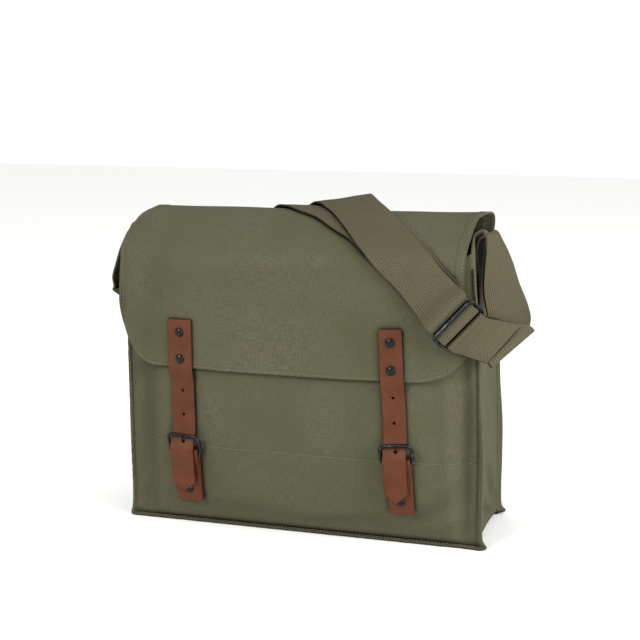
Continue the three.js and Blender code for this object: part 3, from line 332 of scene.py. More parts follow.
FRONT_FOLDS = (
    {"x": -143, "z": 110, "turn": 88, "long": 95, "wide": 8, "rise": -5.0},
    {"x": -126, "z": 90, "turn": 86, "long": 90, "wide": 8, "rise": 1.8},
    {"x": -92, "z": 90, "turn": 94, "long": 60, "wide": 8, "rise": -1.3},
    {"x": 148, "z": 100, "turn": 91, "long": 100, "wide": 6, "rise": -6.5},
    {"x": 136, "z": 100, "turn": 93, "long": 90, "wide": 8, "rise": 2.0},
    {"x": 122, "z": 36, "turn": 38, "long": 34, "wide": 7, "rise": -2.4},
    {"x": 134, "z": 24, "turn": 20, "long": 24, "wide": 6, "rise": 1.5},
    {"x": 60, "z": 18, "turn": 9, "long": 60, "wide": 6, "rise": -2.2},
    {"x": -70, "z": 19, "turn": -4, "long": 70, "wide": 6, "rise": -1.8},
    {"x": -138, "z": 30, "turn": 62, "long": 30, "wide": 7, "rise": -1.8},
    {"x": 20, "z": 148, "turn": 2, "long": 120, "wide": 9, "rise": -1.0},
    {"x": -20, "z": 100, "turn": 40, "long": 60, "wide": 16, "rise": 0.7},
)
SEAM_ROW = 77
SEAM_PULL = 0.5


def edge_hold(across):
    """How far cloth is free to move: none at its sewn sides, all a little way in."""
    return hold((1 - abs(across)) * 18, 0, 1)


def front_place(across, along):
    t = 2 * across - 1
    z = along * (FRONT_RIM + FRONT_CORNER_RISE * abs(t) ** 10) * BAG_HEIGHT
    x = lean_at(z) + t * half_at(z)
    pull = SEAM_PULL * math.exp(-(((z - SEAM_ROW) / 2.6) ** 2))
    free = edge_hold(t) * hold(z / 14, 0, 1)
    loose = free * (folds_at(FRONT_FOLDS, x, z) + slackness(x, z, 3)) - pull
    return Vector((x, front_surface(x, z) - loose, z))


front_panel = lay_cloth("front_panel_cloth", front_place, 150, 120, BAG_WIDTH)
seat(front_panel, canvas, "canvas", "front_panel")
# Painted shade: bands where the front panel's folds and edges fall in shade, darkened into its colour.
FRONT_PAINTED_SHADE = (
    {"x": -141, "z": 90, "turn": 88, "long": 70, "wide": 8, "rise": -2.6},
    {"x": -150, "z": 148, "turn": 20, "long": 28, "wide": 16, "rise": -2.4},
    {"x": 156, "z": 115, "turn": 90, "long": 46, "wide": 5.5, "rise": -3.4},
    {"x": 154, "z": 40, "turn": 90, "long": 40, "wide": 5, "rise": -1.6},
    {"x": 118, "z": 32, "turn": 30, "long": 26, "wide": 7, "rise": -2.0},
    {"x": 60, "z": 16, "turn": 6, "long": 60, "wide": 6, "rise": -1.2},
    {"x": -80, "z": 14, "turn": -4, "long": 60, "wide": 5, "rise": -1.0},
    {"x": 60, "z": 120, "turn": 80, "long": 50, "wide": 14, "rise": -0.7},
    {"x": -70, "z": 60, "turn": 70, "long": 40, "wide": 16, "rise": -0.6},
)
paint_shade_marks(front_panel, FRONT_PAINTED_SHADE)

# Thread: waxed khaki cotton, three strands twisted, lighter than the canvas. A stitch is 2.5 mm
# long, with a short gap to the next where the thread goes down through the cloth.
STITCH_PITCH = 3.3
STITCH_LENGTH = 2.5
STITCH_THICK = 0.65
thread, thread_output = new_material("waxed_khaki_cotton_thread")
thread_place = add(thread, "ShaderNodeTexCoord").outputs["Object"]
thread_twist = add(thread, "ShaderNodeTexNoise", {"Vector": thread_place, "Scale": 1 / (4 * MM)})
thread_dye = add(thread, "ShaderNodeMix", {
    0: thread_twist.outputs["Fac"], 6: linear("#57523d"), 7: linear("#746e55")}, data_type="RGBA")
thread_shader = add(thread, "ShaderNodeBsdfPrincipled", {
    "Base Color": thread_dye.outputs[2], "Roughness": 0.8})
thread.node_tree.links.new(thread_shader.outputs[0], thread_output.inputs["Surface"])


def stitch_rows(name, rows):
    """Rows of stitches as one piece. A row is a list of (point, outward direction)."""
    mesh = bmesh.new()
    bmesh.ops.create_uvsphere(mesh, u_segments=6, v_segments=4, radius=0.5)
    bead = bpy.data.meshes.new("stitch")
    mesh.to_mesh(bead)
    mesh.clear()
    for row in rows:
        lengths = [0]
        for (here, _), (after, _) in zip(row, row[1:]):
            lengths.append(lengths[-1] + (after - here).length)
        count = max(1, round(lengths[-1] / STITCH_PITCH))
        step = 0
        for k in range(count):
            reach = (k + 0.5) * lengths[-1] / count
            while lengths[step + 1] < reach:
                step += 1
            (here, out), (after, _) = row[step], row[step + 1]
            run = (after - here).normalized()
            side = out.cross(run).normalized()
            centre = here.lerp(after, (reach - lengths[step]) / (lengths[step + 1] - lengths[step]))
            size = (STITCH_THICK * side, STITCH_THICK * run.cross(side), STITCH_LENGTH * run)
            turn = (Matrix(size).transposed() * MM).to_4x4()
            turn.translation = centre * MM
            bead.transform(turn)
            mesh.from_mesh(bead)
            bead.transform(turn.inverted())
    for face in mesh.faces:
        face.smooth = True
    data = bpy.data.meshes.new(name)
    mesh.to_mesh(data)
    mesh.free()
    piece = bpy.data.objects.new(name, data)
    bpy.context.collection.objects.link(piece)
    seat(piece, thread, "canvas")
    return piece


def shares(count):
    return [k / count for k in range(count + 1)]


ROW_SPAN = 0.982
ROW_OFF = 0.1
panel_row = []
for share in shares(110):
    x = mix(-ROW_SPAN, ROW_SPAN, share) * half_at(SEAM_ROW) + lean_at(SEAM_ROW)
    across = (x - lean_at(SEAM_ROW)) / half_at(SEAM_ROW) / 2 + 0.5
    face = front_place(across, SEAM_ROW / BAG_HEIGHT / FRONT_RIM).y - ROW_OFF
    panel_row.append((Vector((x, face, SEAM_ROW)), Vector((0, -1, 0))))
stitch_rows("front_panel_stitches", [panel_row])


# Back panel: the same canvas, flatter, and plain because it lies against the wearer.
BACK_FOLDS = (
    {"x": 60, "z": 70, "turn": 60, "long": 60, "wide": 14, "rise": -1.2},
    {"x": -80, "z": 130, "turn": 100, "long": 70, "wide": 12, "rise": -1.4},
    {"x": 110, "z": 30, "turn": 140, "long": 40, "wide": 8, "rise": -1.2},
    {"x": -120, "z": 26, "turn": 35, "long": 40, "wide": 8, "rise": -1.2},
)


def back_surface(x, z):
    return HALF_DEPTH + BACK_BULGE * (1 - across_body(x, z) ** 4) * form_at("back", z)


def back_place(across, along):
    z = along * BACK_RIM * BAG_HEIGHT
    t = 1 - 2 * across
    x = lean_at(z) + t * half_at(z)
    free = edge_hold(t) * hold(z / 14, 0, 1)
    loose = free * (folds_at(BACK_FOLDS, x, z) + slackness(x, z, 17))
    return Vector((x, back_surface(x, z) + min(loose, 0.3), z))


back_panel = lay_cloth("back_panel_cloth", back_place, 130, 110, BAG_WIDTH)
seat(back_panel, canvas, "canvas", "back_panel")

# Gusset: one strip of canvas that makes both sides and the bottom. Its sides dent inwards between
# the seams and crease at the lower back corners, and its bottom lies flat.
GUSSET_DENT = 6
GUSSET_CORNER = 5
SEAM_GAP = 0.3
GUSSET_RIM = (0.912, 0.944, 0.955, 0.957, 0.957, 0.950, 0.935)
GUSSET_FOLDS = (
    {"x": 26, "z": 34, "turn": 118, "long": 26, "wide": 5, "rise": -2.6},
    {"x": 34, "z": 20, "turn": 60, "long": 18, "wide": 4, "rise": 1.3},
    {"x": 8, "z": 16, "turn": 150, "long": 24, "wide": 5, "rise": -2.2},
    {"x": -22, "z": 60, "turn": 96, "long": 60, "wide": 6, "rise": -1.2},
    {"x": 20, "z": 120, "turn": 84, "long": 70, "wide": 7, "rise": -1.4},
    {"x": -30, "z": 24, "turn": 40, "long": 20, "wide": 5, "rise": -1.5},
)


def along(values, at):
    """Smooth curve through the values: at runs from 0 at the first to 1 at the last."""
    reach = hold(at, 0, 1) * (len(values) - 1)
    step = min(int(reach), len(values) - 2)
    t = reach - step
    before, start, end, after = (values[hold(step + k, 0, len(values) - 1)] for k in (-1, 0, 1, 2))
    bend = before * 2 - start * 5 + end * 4 - after
    twist = after - before + (start - end) * 3
    return (start * 2 + (end - before) * t + bend * t ** 2 + twist * t ** 3) * 0.5


def gusset_side(side, y, z):
    """Outer face of a gusset side."""
    dent = GUSSET_DENT * (0.45 + 0.55 * math.sin(math.pi * min(z / (0.9 * BAG_HEIGHT), 1)))
    return lean_at(z) + side * (half_at(z) - dent * (1 - (y / HALF_DEPTH) ** 2))


def gusset_place(across, share):
    y = (2 * across - 1) * (HALF_DEPTH - CANVAS - SEAM_GAP)
    rim = along(GUSSET_RIM, across) * BAG_HEIGHT
    bottom = BAG_WIDTH - 2 * GUSSET_CORNER
    reach = share * (2 * rim + bottom)
    if rim <= reach <= rim + bottom:
        left = gusset_side(-1, y, 0) + GUSSET_CORNER
        right = gusset_side(1, y, 0) - GUSSET_CORNER
        return Vector((mix(left, right, (reach - rim) / bottom), y, 0))
    side = -1 if reach < rim else 1
    z = rim - reach if side < 0 else reach - rim - bottom
    free = hold((1 - abs(y) / HALF_DEPTH) * 6, 0, 1) * hold(z / 10, 0, 1) * hold((200 - z) / 12, 0, 1)
    loose = free * (folds_at(GUSSET_FOLDS, y, z) + 0.8 * slackness(y, z, 31 + side))
    corner = GUSSET_CORNER * max(0, 1 - z / GUSSET_CORNER) ** 2
    return Vector((gusset_side(side, y, z) + side * (min(loose, 0.3) - corner), y, z))


gusset = lay_cloth("gusset_cloth", gusset_place, 44, 380, 2 * HALF_DEPTH)
seat(gusset, canvas, "canvas", "gusset")
# Painted shade: bands where the gusset's creases fall in shade, darkened into its colour.
GUSSET_PAINTED_SHADE = (
    {"x": 30, "z": 40, "turn": 115, "long": 24, "wide": 5, "rise": -2.4},
    {"x": 14, "z": 18, "turn": 150, "long": 22, "wide": 5, "rise": -2.4},
    {"x": -40, "z": 100, "turn": 90, "long": 90, "wide": 3, "rise": -2.0},
    {"x": 38, "z": 130, "turn": 92, "long": 60, "wide": 4, "rise": -1.6},
    {"x": -18, "z": 150, "turn": 70, "long": 26, "wide": 12, "rise": -1.8},
)
paint_shade_marks(gusset, GUSSET_PAINTED_SHADE, sideways=1)


# Flap: one piece of the same canvas, sewn on behind and carried over the top, with a narrow hem
# turned in and stitched round its free edge. Its two lower corners are rounded.
FLAP_HALF = 314 / 2
FLAP_SHIFT = -9
FLAP_BOTTOM = 150
FLAP_SEAM = 0.875 * BAG_HEIGHT
FLAP_CORNER = {-1: (35.5, 58), 1: (46, 28)}
FLAP_CLEAR = 0.7
FLAP_FLARE = 7
FLAP_SPREAD = 2.4
FLAP_SPREAD_FROM = 0.8
FLAP_SPREAD_SPAN = 0.13
CROWN = {-1: -1.5, 1: 3}
WRAP_TOP = 0.45
WRAP_BACK_BEND = 0.33
WRAP = {
    "depth": (1, 1, 1, 1, 0.99, 0.9, 0.66, 0.28, -0.24, -0.58, -0.88, -1, -1, -1, -1, -1),
    "bulge": (1, 1, 0.97, 0.86, 0.5, 0.1, 0, 0, 0, -0.16, -0.46, -0.85, -1, -1, -1, -1),
    "height": (0.55, 0.68, 0.8, 0.885, 0.95, 0.986, 0.999, 0.997, 0.985, 0.96, 0.927, 0.885, 0.82,
               0.72, 0.61, 0.5),
}
HEM_WIDTH = 7.5
HEM_RISE = 0.45
HEM_STITCH = 1.7
EDGE_LIFT = 2.0
EDGE_LIFT_REACH = 9
STRAP_PLACES = (-107, 87)
STRAP_HOLD = 15


def wrap_point(x, at):
    """The skin that the flap follows: up the back, over the top and down the front."""
    edge = across_body(x, 0.75 * BAG_HEIGHT) ** 4
    bulge = along(WRAP["bulge"], at)
    skin = (FRONT_BULGE if bulge < 0 else BACK_BULGE) * (1 - 0.55 * edge) + FLAP_CLEAR + CANVAS
    over_top = max(0, 1 - abs(at - WRAP_TOP) * 5)
    crown = CROWN[-1 if x < 0 else 1] * (x / (BAG_WIDTH / 2)) ** 2 * over_top
    y = along(WRAP["depth"], at) * HALF_DEPTH + bulge * skin
    return Vector((x, y, along(WRAP["height"], at) * BAG_HEIGHT + crown))


def wrap_normal(x, at, step=0.004):
    run = wrap_point(x, at + step) - wrap_point(x, at - step)
    return Vector((0, run.z, -run.y)).normalized()


def off_wrap(x, at, distance):
    return wrap_point(x, at) + wrap_normal(x, at) * distance


@lru_cache(maxsize=None)
def wrap_at(x, z, front):
    """Where the wrap passes a height, on its front run or its back run."""
    low, high = (WRAP_TOP, 1) if front else (0, WRAP_TOP)
    for _ in range(30):
        middle = (low + high) / 2
        if (wrap_point(x, middle).z > z) == front:
            low = middle
        else:
            high = middle
    return (low + high) / 2


def flap_edge_height(t):
    wide, tall = FLAP_CORNER[-1 if t < 0 else 1]
    into = max(0, wide - (1 - abs(t)) * FLAP_HALF) / wide
    return FLAP_BOTTOM + tall * (1 - math.sqrt(max(0, 1 - into * into)))


# Length along the wrap from its start, so that hem and stitches keep their distances.
WRAP_PARTS = 600
wrap_lengths = [0]
for part in range(WRAP_PARTS):
    stride = (wrap_point(0, (part + 1) / WRAP_PARTS) - wrap_point(0, part / WRAP_PARTS)).length
    wrap_lengths.append(wrap_lengths[-1] + stride)


def length_at(at):
    reach = hold(at, 0, 1) * WRAP_PARTS
    part = min(int(reach), WRAP_PARTS - 1)
    return mix(wrap_lengths[part], wrap_lengths[part + 1], reach - part)


def at_length(length):
    part = hold(bisect_left(wrap_lengths, length), 1, WRAP_PARTS)
    low, high = wrap_lengths[part - 1], wrap_lengths[part]
    return (part - 1 + (length - low) / (high - low)) / WRAP_PARTS


@lru_cache(maxsize=None)
def flap_span(t):
    """Lengths along the wrap at the flap's seam and at its edge, for a share of its half width."""
    x = FLAP_SHIFT + t * FLAP_HALF
    start = length_at(wrap_at(x, FLAP_SEAM, False))
    return start, length_at(wrap_at(x, flap_edge_height(t), True))


def hem_distance(t, length):
    """Roughly how far a place on the flap lies from its free edge."""
    ahead = flap_span(t)[1] - length
    slope = (flap_span(min(t + 0.01, 1))[1] - flap_span(max(t - 0.01, -1))[1]) / (0.02 * FLAP_HALF)
    return min((1 - abs(t)) * FLAP_HALF, ahead / math.hypot(1, slope))


FLAP_FOLDS = (
    {"x": -60, "z": 430, "turn": 4, "long": 90, "wide": 12, "rise": -0.9},
    {"x": 30, "z": 470, "turn": -3, "long": 110, "wide": 16, "rise": -0.8},
    {"x": -120, "z": 400, "turn": 70, "long": 60, "wide": 14, "rise": -1.0},
    {"x": 10, "z": 300, "turn": 2, "long": 130, "wide": 9, "rise": -0.9},
    {"x": -105, "z": 520, "turn": 80, "long": 40, "wide": 12, "rise": -0.8},
)


def edge_lift(x, ahead):
    """The flap's lower edge stands off the panel, except where a strap holds it down."""
    free = min(hold((abs(x - place) - STRAP_HOLD) / 26, 0, 1) for place in STRAP_PLACES)
    return EDGE_LIFT * free * math.exp(-max(ahead, 0) / EDGE_LIFT_REACH)


def flap_point(t, length, off=0):
    x = FLAP_SHIFT + t * FLAP_HALF
    at = at_length(length)
    curl = max(0, 1 - ((at - WRAP_BACK_BEND) / 0.16) ** 2)
    spread = FLAP_SPREAD * hold((at - FLAP_SPREAD_FROM) / FLAP_SPREAD_SPAN, 0, 1)
    flare = (FLAP_FLARE * curl + spread) * max(0, t) ** 6
    edge = hem_distance(t, length)
    hem = HEM_RISE * (hold(HEM_WIDTH - edge + 0.5, 0, 1) - 0.5)
    pull = 0.3 * math.exp(-(((edge - HEM_STITCH) / 1.0) ** 2))
    loose = min(folds_at(FLAP_FOLDS, x, length) + 0.8 * slackness(x, length, 47), 0.35)
    lift = edge_lift(x, flap_span(t)[1] - length)
    return off_wrap(x, at, off + hem - pull + loose + lift) + Vector((flare, 0, 0))


def flap_place(across, along_flap):
    t = math.cos(math.pi * across) if not 0.14 < across < 0.86 else mix(
        math.cos(math.pi * 0.14), math.cos(math.pi * 0.86), (across - 0.14) / 0.72)
    start, end = flap_span(t)
    return flap_point(t, mix(start, end, along_flap))


flap = lay_cloth("flap_cloth", flap_place, 190, 210, 2 * FLAP_HALF)
seat(flap, canvas, "canvas", "flap")
# Painted shade: patches where the flap falls in shade, darkened into its colour.
FLAP_PAINTED_SHADE = (
    {"x": -128, "z": 222, "turn": 80, "long": 34, "wide": 12, "rise": -1.3},
    {"x": -140, "z": 175, "turn": 60, "long": 24, "wide": 10, "rise": -1.0},
    {"x": -20, "z": 236, "turn": 4, "long": 90, "wide": 9, "rise": -0.8},
    {"x": 104, "z": 214, "turn": 118, "long": 44, "wide": 12, "rise": -1.5},
    {"x": 60, "z": 176, "turn": 100, "long": 30, "wide": 12, "rise": -0.8},
    {"x": 128, "z": 176, "turn": 40, "long": 26, "wide": 9, "rise": -1.2},
)
paint_shade_marks(flap, FLAP_PAINTED_SHADE)


def flap_outline(inset):
    """Stitch line at a distance inside the flap's free edge, from its left side round to its right."""
    outline = []
    for t in [-1] * 40 + [2 * s - 1 for s in shares(160)] + [1] * 40:
        outline.append([FLAP_HALF * t, flap_span(t)[1]])
    for k in range(40):
        first = flap_span(-1)
        last = flap_span(1)
        outline[k][1] = mix(first[0] + 10, first[1], k / 40)
        outline[-1 - k][1] = mix(last[0] + 10, last[1], k / 40)
    line = []
    for before, here, after in zip(outline, outline[1:], outline[2:]):
        run = Vector((after[0] - before[0], after[1] - before[1])).normalized()
        x, length = here[0] + run.y * inset, here[1] - run.x * inset
        t = x / FLAP_HALF
        line.append((flap_point(t, length, 0.05), wrap_normal(x + FLAP_SHIFT, at_length(length))))
    return line


stitch_rows("flap_stitches", [flap_outline(HEM_STITCH)])

# Seam ridges: panel and gusset edges folded together and stitched through, so that they stand
# out along the sides and the bottom. They are the same canvas, doubled and pressed hard.
SEAM_REACH = {-1: 2.4, 1: 4.6}
SEAM_PRESSED = 0.45
SEAM_PRESSED_FROM = 0.3
SEAM_PRESSED_SPAN = 0.18
SEAM_EAR = {-1: 0.6, 1: 3.2}
SEAM_FLOOR = 1.5
SEAM_TURN = 2.4
RIDGE_SECTION = {
    "out": (-2.2, -0.6, 0.55, 0.9, 1, 1, 0.9, 0.55, -0.6, -2.2),
    "spread": (-1.7, -1.3, -1.1, -0.95, -0.5, 0.5, 0.95, 1.1, 1.3, 1.7),
}
ridge_threads = []


def lay_ridge(side):
    """Ridge at the front (side -1) or the back (side 1): down the left, along the floor and up."""
    heights = [mix(FRONT_RIM * 0.975, 0.035, share) * BAG_HEIGHT for share in shares(12)]
    feet, outs, reaches = [], [], []

    def station(x, z, out_x, reach):
        feet.append(Vector((x, side * HALF_DEPTH, z)))
        outs.append(Vector((out_x, side * math.sqrt(0.5), 0)).normalized())
        reaches.append(reach)

    left, right = SEAM_REACH[-1], SEAM_REACH[1]
    for z in heights:
        station(lean_at(z) - half_at(z), z, -math.sqrt(0.5), left)
    station(-half_at(0), SEAM_FLOOR + SEAM_TURN, -1.1, left + SEAM_EAR[-1])
    station(-half_at(0) + SEAM_TURN, SEAM_FLOOR, -0.8, right + SEAM_EAR[-1])
    for share in shares(10):
        station(mix(-0.95, 0.95, share) * half_at(0), SEAM_FLOOR, 0, right)
    station(half_at(0) - SEAM_TURN, SEAM_FLOOR, 0.8, right + SEAM_EAR[1])
    station(half_at(0), SEAM_FLOOR + SEAM_TURN, 1.1, right + SEAM_EAR[1])
    for z in reversed(heights):
        pressed = hold((z / BAG_HEIGHT - SEAM_PRESSED_FROM) / SEAM_PRESSED_SPAN, 0, 1)
        pressed = pressed * pressed * (3 - 2 * pressed)
        station(lean_at(z) + half_at(z), z, math.sqrt(0.5), right * mix(1, SEAM_PRESSED, pressed))

    def ridge_point(out_share, spread, share):
        foot = along(feet, share)
        out = along(outs, share).normalized()
        run = (along(feet, share + 0.004) - along(feet, share - 0.004)).normalized()
        pucker = 0.3 * noise.noise(Vector((share * 160, side * 5, 2)))
        distance = out_share * (along(reaches, share) + pucker) if out_share > 0 else out_share
        return foot + out * distance + run.cross(out).normalized() * (spread + pucker)

    def place(across, share):
        return ridge_point(
            along(RIDGE_SECTION["out"], across), along(RIDGE_SECTION["spread"], across), share)

    piece = lay_cloth("front_seam_cloth" if side < 0 else "back_seam_cloth", place, 18, 420, 12, wall=0.6)
    seat(piece, canvas, "canvas", "front_seam" if side < 0 else "back_seam")
    for face in (-1, 1):
        row = [
            (ridge_point(0.5, 1.2 * face, 0.01 + 0.98 * share), Vector((0, side, 0)))
            for share in shares(300)]
        ridge_threads.append(row)


lay_ridge(-1)
lay_ridge(1)
stitch_rows("ridge_stitches", ridge_threads)


# Shoulder strap: cotton webbing 43.5 mm wide, in two pieces joined by the slider. It is woven with
# heavy lengthwise ribs whose threads slant one way and then the other.
WEB_WIDTH = 43.5
WEB = 1.8
WEB_CLEAR = 0.6
WEB_LIFT = 13
WEB_BRIDGE = 3.4
SEWN_CLEAR = 0.3
LOOP_TOP = 273
LOOP_DROP = 88
LOOP_REACH = 42
SLIDER_LENGTH = 19
BAR_TURN = 3.2 / 2 + 0.5 + WEB / 2
SLIDER_PINCH = 0.93
SLIDER_GATHER = 3.2
RIB_SPACING = 2.0
RIB_PITCH = 2.2
ACROSS = shares(4)
BEND_STEP = 0.022

web_cloth, web_output = new_material("olive_cotton_webbing")
web_place = add(web_cloth, "ShaderNodeTexCoord").outputs["UV"]
web_split = add(web_cloth, "ShaderNodeSeparateXYZ", {"Vector": web_place})
web_rib = add(web_cloth, "ShaderNodeMath", {
    0: web_split.outputs[0], 1: RIB_SPACING * MM}, operation="PINGPONG")
web_slant = add(web_cloth, "ShaderNodeMath", {
    0: web_rib.outputs[0], 1: 0.9, 2: web_split.outputs[1]}, operation="MULTIPLY_ADD")
web_phase = add(web_cloth, "ShaderNodeMath", {
    0: web_slant.outputs[0], 1: 2 * math.pi / (RIB_PITCH * MM)}, operation="MULTIPLY")
web_mark = add(web_cloth, "ShaderNodeMath", {0: web_phase.outputs[0]}, operation="SINE")
web_turn = add(web_cloth, "ShaderNodeMath", {
    0: web_split.outputs[0], 1: math.pi / (RIB_SPACING * MM)}, operation="MULTIPLY")
web_wave = add(web_cloth, "ShaderNodeMath", {0: web_turn.outputs[0]}, operation="SINE")
web_crest = add(web_cloth, "ShaderNodeMath", {0: web_wave.outputs[0]}, operation="ABSOLUTE")
web_relief = add(web_cloth, "ShaderNodeMath", {
    0: web_mark.outputs[0], 1: 0.4, 2: web_crest.outputs[0]}, operation="MULTIPLY_ADD")
web_shade = add(web_cloth, "ShaderNodeMapRange", {
    "Value": web_relief.outputs[0], "From Min": -0.3, "From Max": 1.2})
web_dye = add(web_cloth, "ShaderNodeMix", {
    0: web_shade.outputs[0], 6: linear("#343122"), 7: linear("#575341")}, data_type="RGBA")
# Painted shade: ambient occlusion darkens the webbing to near black inside its loops and where it lies
# close to the bag.
web_shade_probe = add(web_cloth, "ShaderNodeAmbientOcclusion", {"Distance": 0.02}, samples=6)
web_unshaded_share = add(web_cloth, "ShaderNodeMapRange", {
    "Value": web_shade_probe.outputs["AO"], "From Min": 0.4, "From Max": 0.85})
web_painted_shade = add(web_cloth, "ShaderNodeMix", {
    0: web_unshaded_share.outputs[0], 6: linear("#12110b"), 7: web_dye.outputs[2]}, data_type="RGBA")
web_bump = add(web_cloth, "ShaderNodeBump", {
    "Height": web_relief.outputs[0], "Strength": 0.5, "Distance": 0.35 * MM})
web_shader = add(web_cloth, "ShaderNodeBsdfPrincipled", {
    "Base Color": web_painted_shade.outputs[2], "Normal": web_bump.outputs[0], "Roughness": 0.95,
    "Specular IOR Level": 0.05})
web_cloth.node_tree.links.new(web_shader.outputs[0], web_output.inputs["Surface"])

swing = Matrix.Rotation(math.radians(14), 3, "Z")
slider_turn = math.radians(47)
slider_across = swing @ Vector((math.cos(slider_turn), 0, math.sin(slider_turn)))
slider_dip = Matrix.Rotation(math.radians(30), 3, slider_across)
slider_run = slider_dip @ swing @ Vector((math.sin(slider_turn), 0, -math.cos(slider_turn)))
slider_out = slider_dip @ swing @ Vector((0, -1, 0))


def layer_off(layer):
    return WEB_CLEAR + WEB / 2 + layer * (WEB + WEB_CLEAR)


slider_centre = off_wrap(146.3, wrap_at(146.3, 202.9, True), layer_off(1) + BAR_TURN + 4.3)


def by_slider(across, run, out):
    return slider_centre + slider_across * across + slider_run * run + slider_out * out


def straight_line(left, right):
    return [left.lerp(right, share) for share in ACROSS]


def line_by_slider(run, out, gather=0):
    half = WEB_WIDTH / 2 * SLIDER_PINCH
    return straight_line(by_slider(-half, run, out), by_slider(half + gather, run, out))


def turn_round_bar(bar_run, facing, outward):
    lines = []
    for share in ACROSS:
        run = bar_run + facing * BAR_TURN * math.sin(math.pi * share)
        lines.append(line_by_slider(run, outward * BAR_TURN * math.cos(math.pi * share)))
    return lines


def line_on_wrap(left, right, layer):
    """Line of webbing between two edge places (x, place on the wrap, lift)."""
    line = []
    for share in ACROSS:
        x, at, lift = (mix(first, second, share) for first, second in zip(left, right))
        bend = wrap_normal(x, at - BEND_STEP).angle(wrap_normal(x, at + BEND_STEP))
        line.append(off_wrap(x, at, layer_off(layer) + WEB_BRIDGE * bend + lift))
    return line


def bag_lines(rows, layer):
    count = round((len(rows) - 1) * 1.7)
    lines = []
    for share in shares(count):
        edges = []
        for side in (0, 1):
            x, at, lift = (along([row[side][k] for row in rows], share) for k in (0, 1, 2))
            edges.append((x * BAG_WIDTH / 2, at, max(0, lift) * WEB_LIFT))
        lines.append(line_on_wrap(*edges, layer))
    return lines


def sewn_lines(side):
    lines = []
    for drop in (0.78, 0.55, 0.3, 0.13):
        z = LOOP_TOP - drop * LOOP_DROP
        spread = [(share - 0.5) * WEB_WIDTH for share in ACROSS]
        lines.append([
            Vector((gusset_side(side, y, z) + side * (SEWN_CLEAR + WEB / 2), y, z))
            for y in spread])
    return lines


def loop_lines(side, rows):
    """Lines of a loop from rows of (front edge, back edge), each (out, fore, drop) as shares."""
    foot = gusset_side(side, 0, LOOP_TOP * 0.95)
    lines = []
    for row in rows:
        edges = [
            Vector((
                foot + side * out * LOOP_REACH, -fore * WEB_WIDTH / 2,
                LOOP_TOP - drop * LOOP_DROP))
                 for out, fore, drop in row]
        lines.append(straight_line(*edges))
    return lines


def fold_lines(line, towards, out):
    """Half a turn of the webbing across its last line."""
    crease = (line[-1] - line[0]).normalized()
    away = line[2] - towards
    away = (away - crease * away.dot(crease)).normalized()
    lift = away.cross(crease).normalized()
    if lift.dot(out) < 0:
        lift = -lift
    radius = WEB / 2 + 0.45
    return [[p + away * radius * math.sin(math.pi * s) + lift * radius * (1 - math.cos(math.pi * s))
             for p in line] for s in ACROSS[1:]]


def between(first, second, share):
    return [p.lerp(q, share) for p, q in zip(first, second)]


def lay_webbing(name, lines, node):
    """A length of webbing that runs smoothly through its lines."""
    spans = [[max((after - here).length, 0.01) for here, after in zip(line, following)]
             for line, following in zip(lines, lines[1:])]

    def slope(k, column):
        before = max(k - 1, 0)
        after = min(k, len(spans) - 1)
        first = (lines[before + 1][column] - lines[before][column]) / spans[before][column]
        second = (lines[after + 1][column] - lines[after][column]) / spans[after][column]
        share = spans[before][column] / (spans[before][column] + spans[after][column])
        return first.lerp(second, share)

    @lru_cache(maxsize=None)
    def line_at(share):
        reach = share * len(spans)
        k = min(int(reach), len(spans) - 1)
        t = reach - k
        points = []
        for column, span in enumerate(spans[k]):
            start, end = lines[k][column], lines[k + 1][column]
            points.append(start * (2 * t ** 3 - 3 * t ** 2 + 1) + end * (3 * t ** 2 - 2 * t ** 3)
                          + slope(k, column) * span * (t ** 3 - 2 * t ** 2 + t)
                          + slope(k + 1, column) * span * (t ** 3 - t ** 2))
        return points

    def place(across, share):
        return along(line_at(share), across)

    piece = lay_cloth(name, place, 24, 6 * len(spans), WEB_WIDTH, wall=WEB, offset=0, one_rule=True)
    seat(piece, web_cloth, "webbing", node)


RIGHT_LOOP = (
    ((0.10, 1.00, 0.045), (0.12, -1.00, 0.045)),
    ((0.20, 1.00, 0.015), (0.24, -1.00, 0.020)),
    ((0.23, 1.00, 0.120), (0.41, -0.98, 0.130)),
    ((0.21, 1.06, 0.320), (0.61, -0.88, 0.310)),
    ((0.23, 1.40, 0.520), (0.80, -0.46, 0.510)),
    ((0.37, 1.95, 0.760), (1.05, 0.30, 0.690)),
    ((0.45, 2.50, 0.985), (1.18, 0.95, 0.790)),
    ((0.54, 3.08, 1.190), (1.25, 1.52, 0.890)),
)
LEFT_LOOP = (
    ((0.10, 1.00, 0.045), (0.10, -1.00, 0.045)),
    ((0.22, 1.00, 0.010), (0.25, -1.00, 0.010)),
    ((0.33, 1.00, 0.080), (0.42, -1.00, 0.080)),
    ((0.56, 0.95, 0.270), (0.67, -1.02, 0.310)),
    ((0.70, 0.92, 0.450), (0.79, -1.04, 0.530)),
    ((0.80, 0.90, 0.610), (0.87, -1.06, 0.770)),
    ((0.79, 0.88, 0.720), (0.89, -1.06, 0.930)),
)
LEFT_TURN = (
    ((0.64, -0.92, 0.665), (0.76, -1.84, 1.060)),
    ((0.36, -2.55, 0.670), (0.36, -2.62, 1.165)),
)
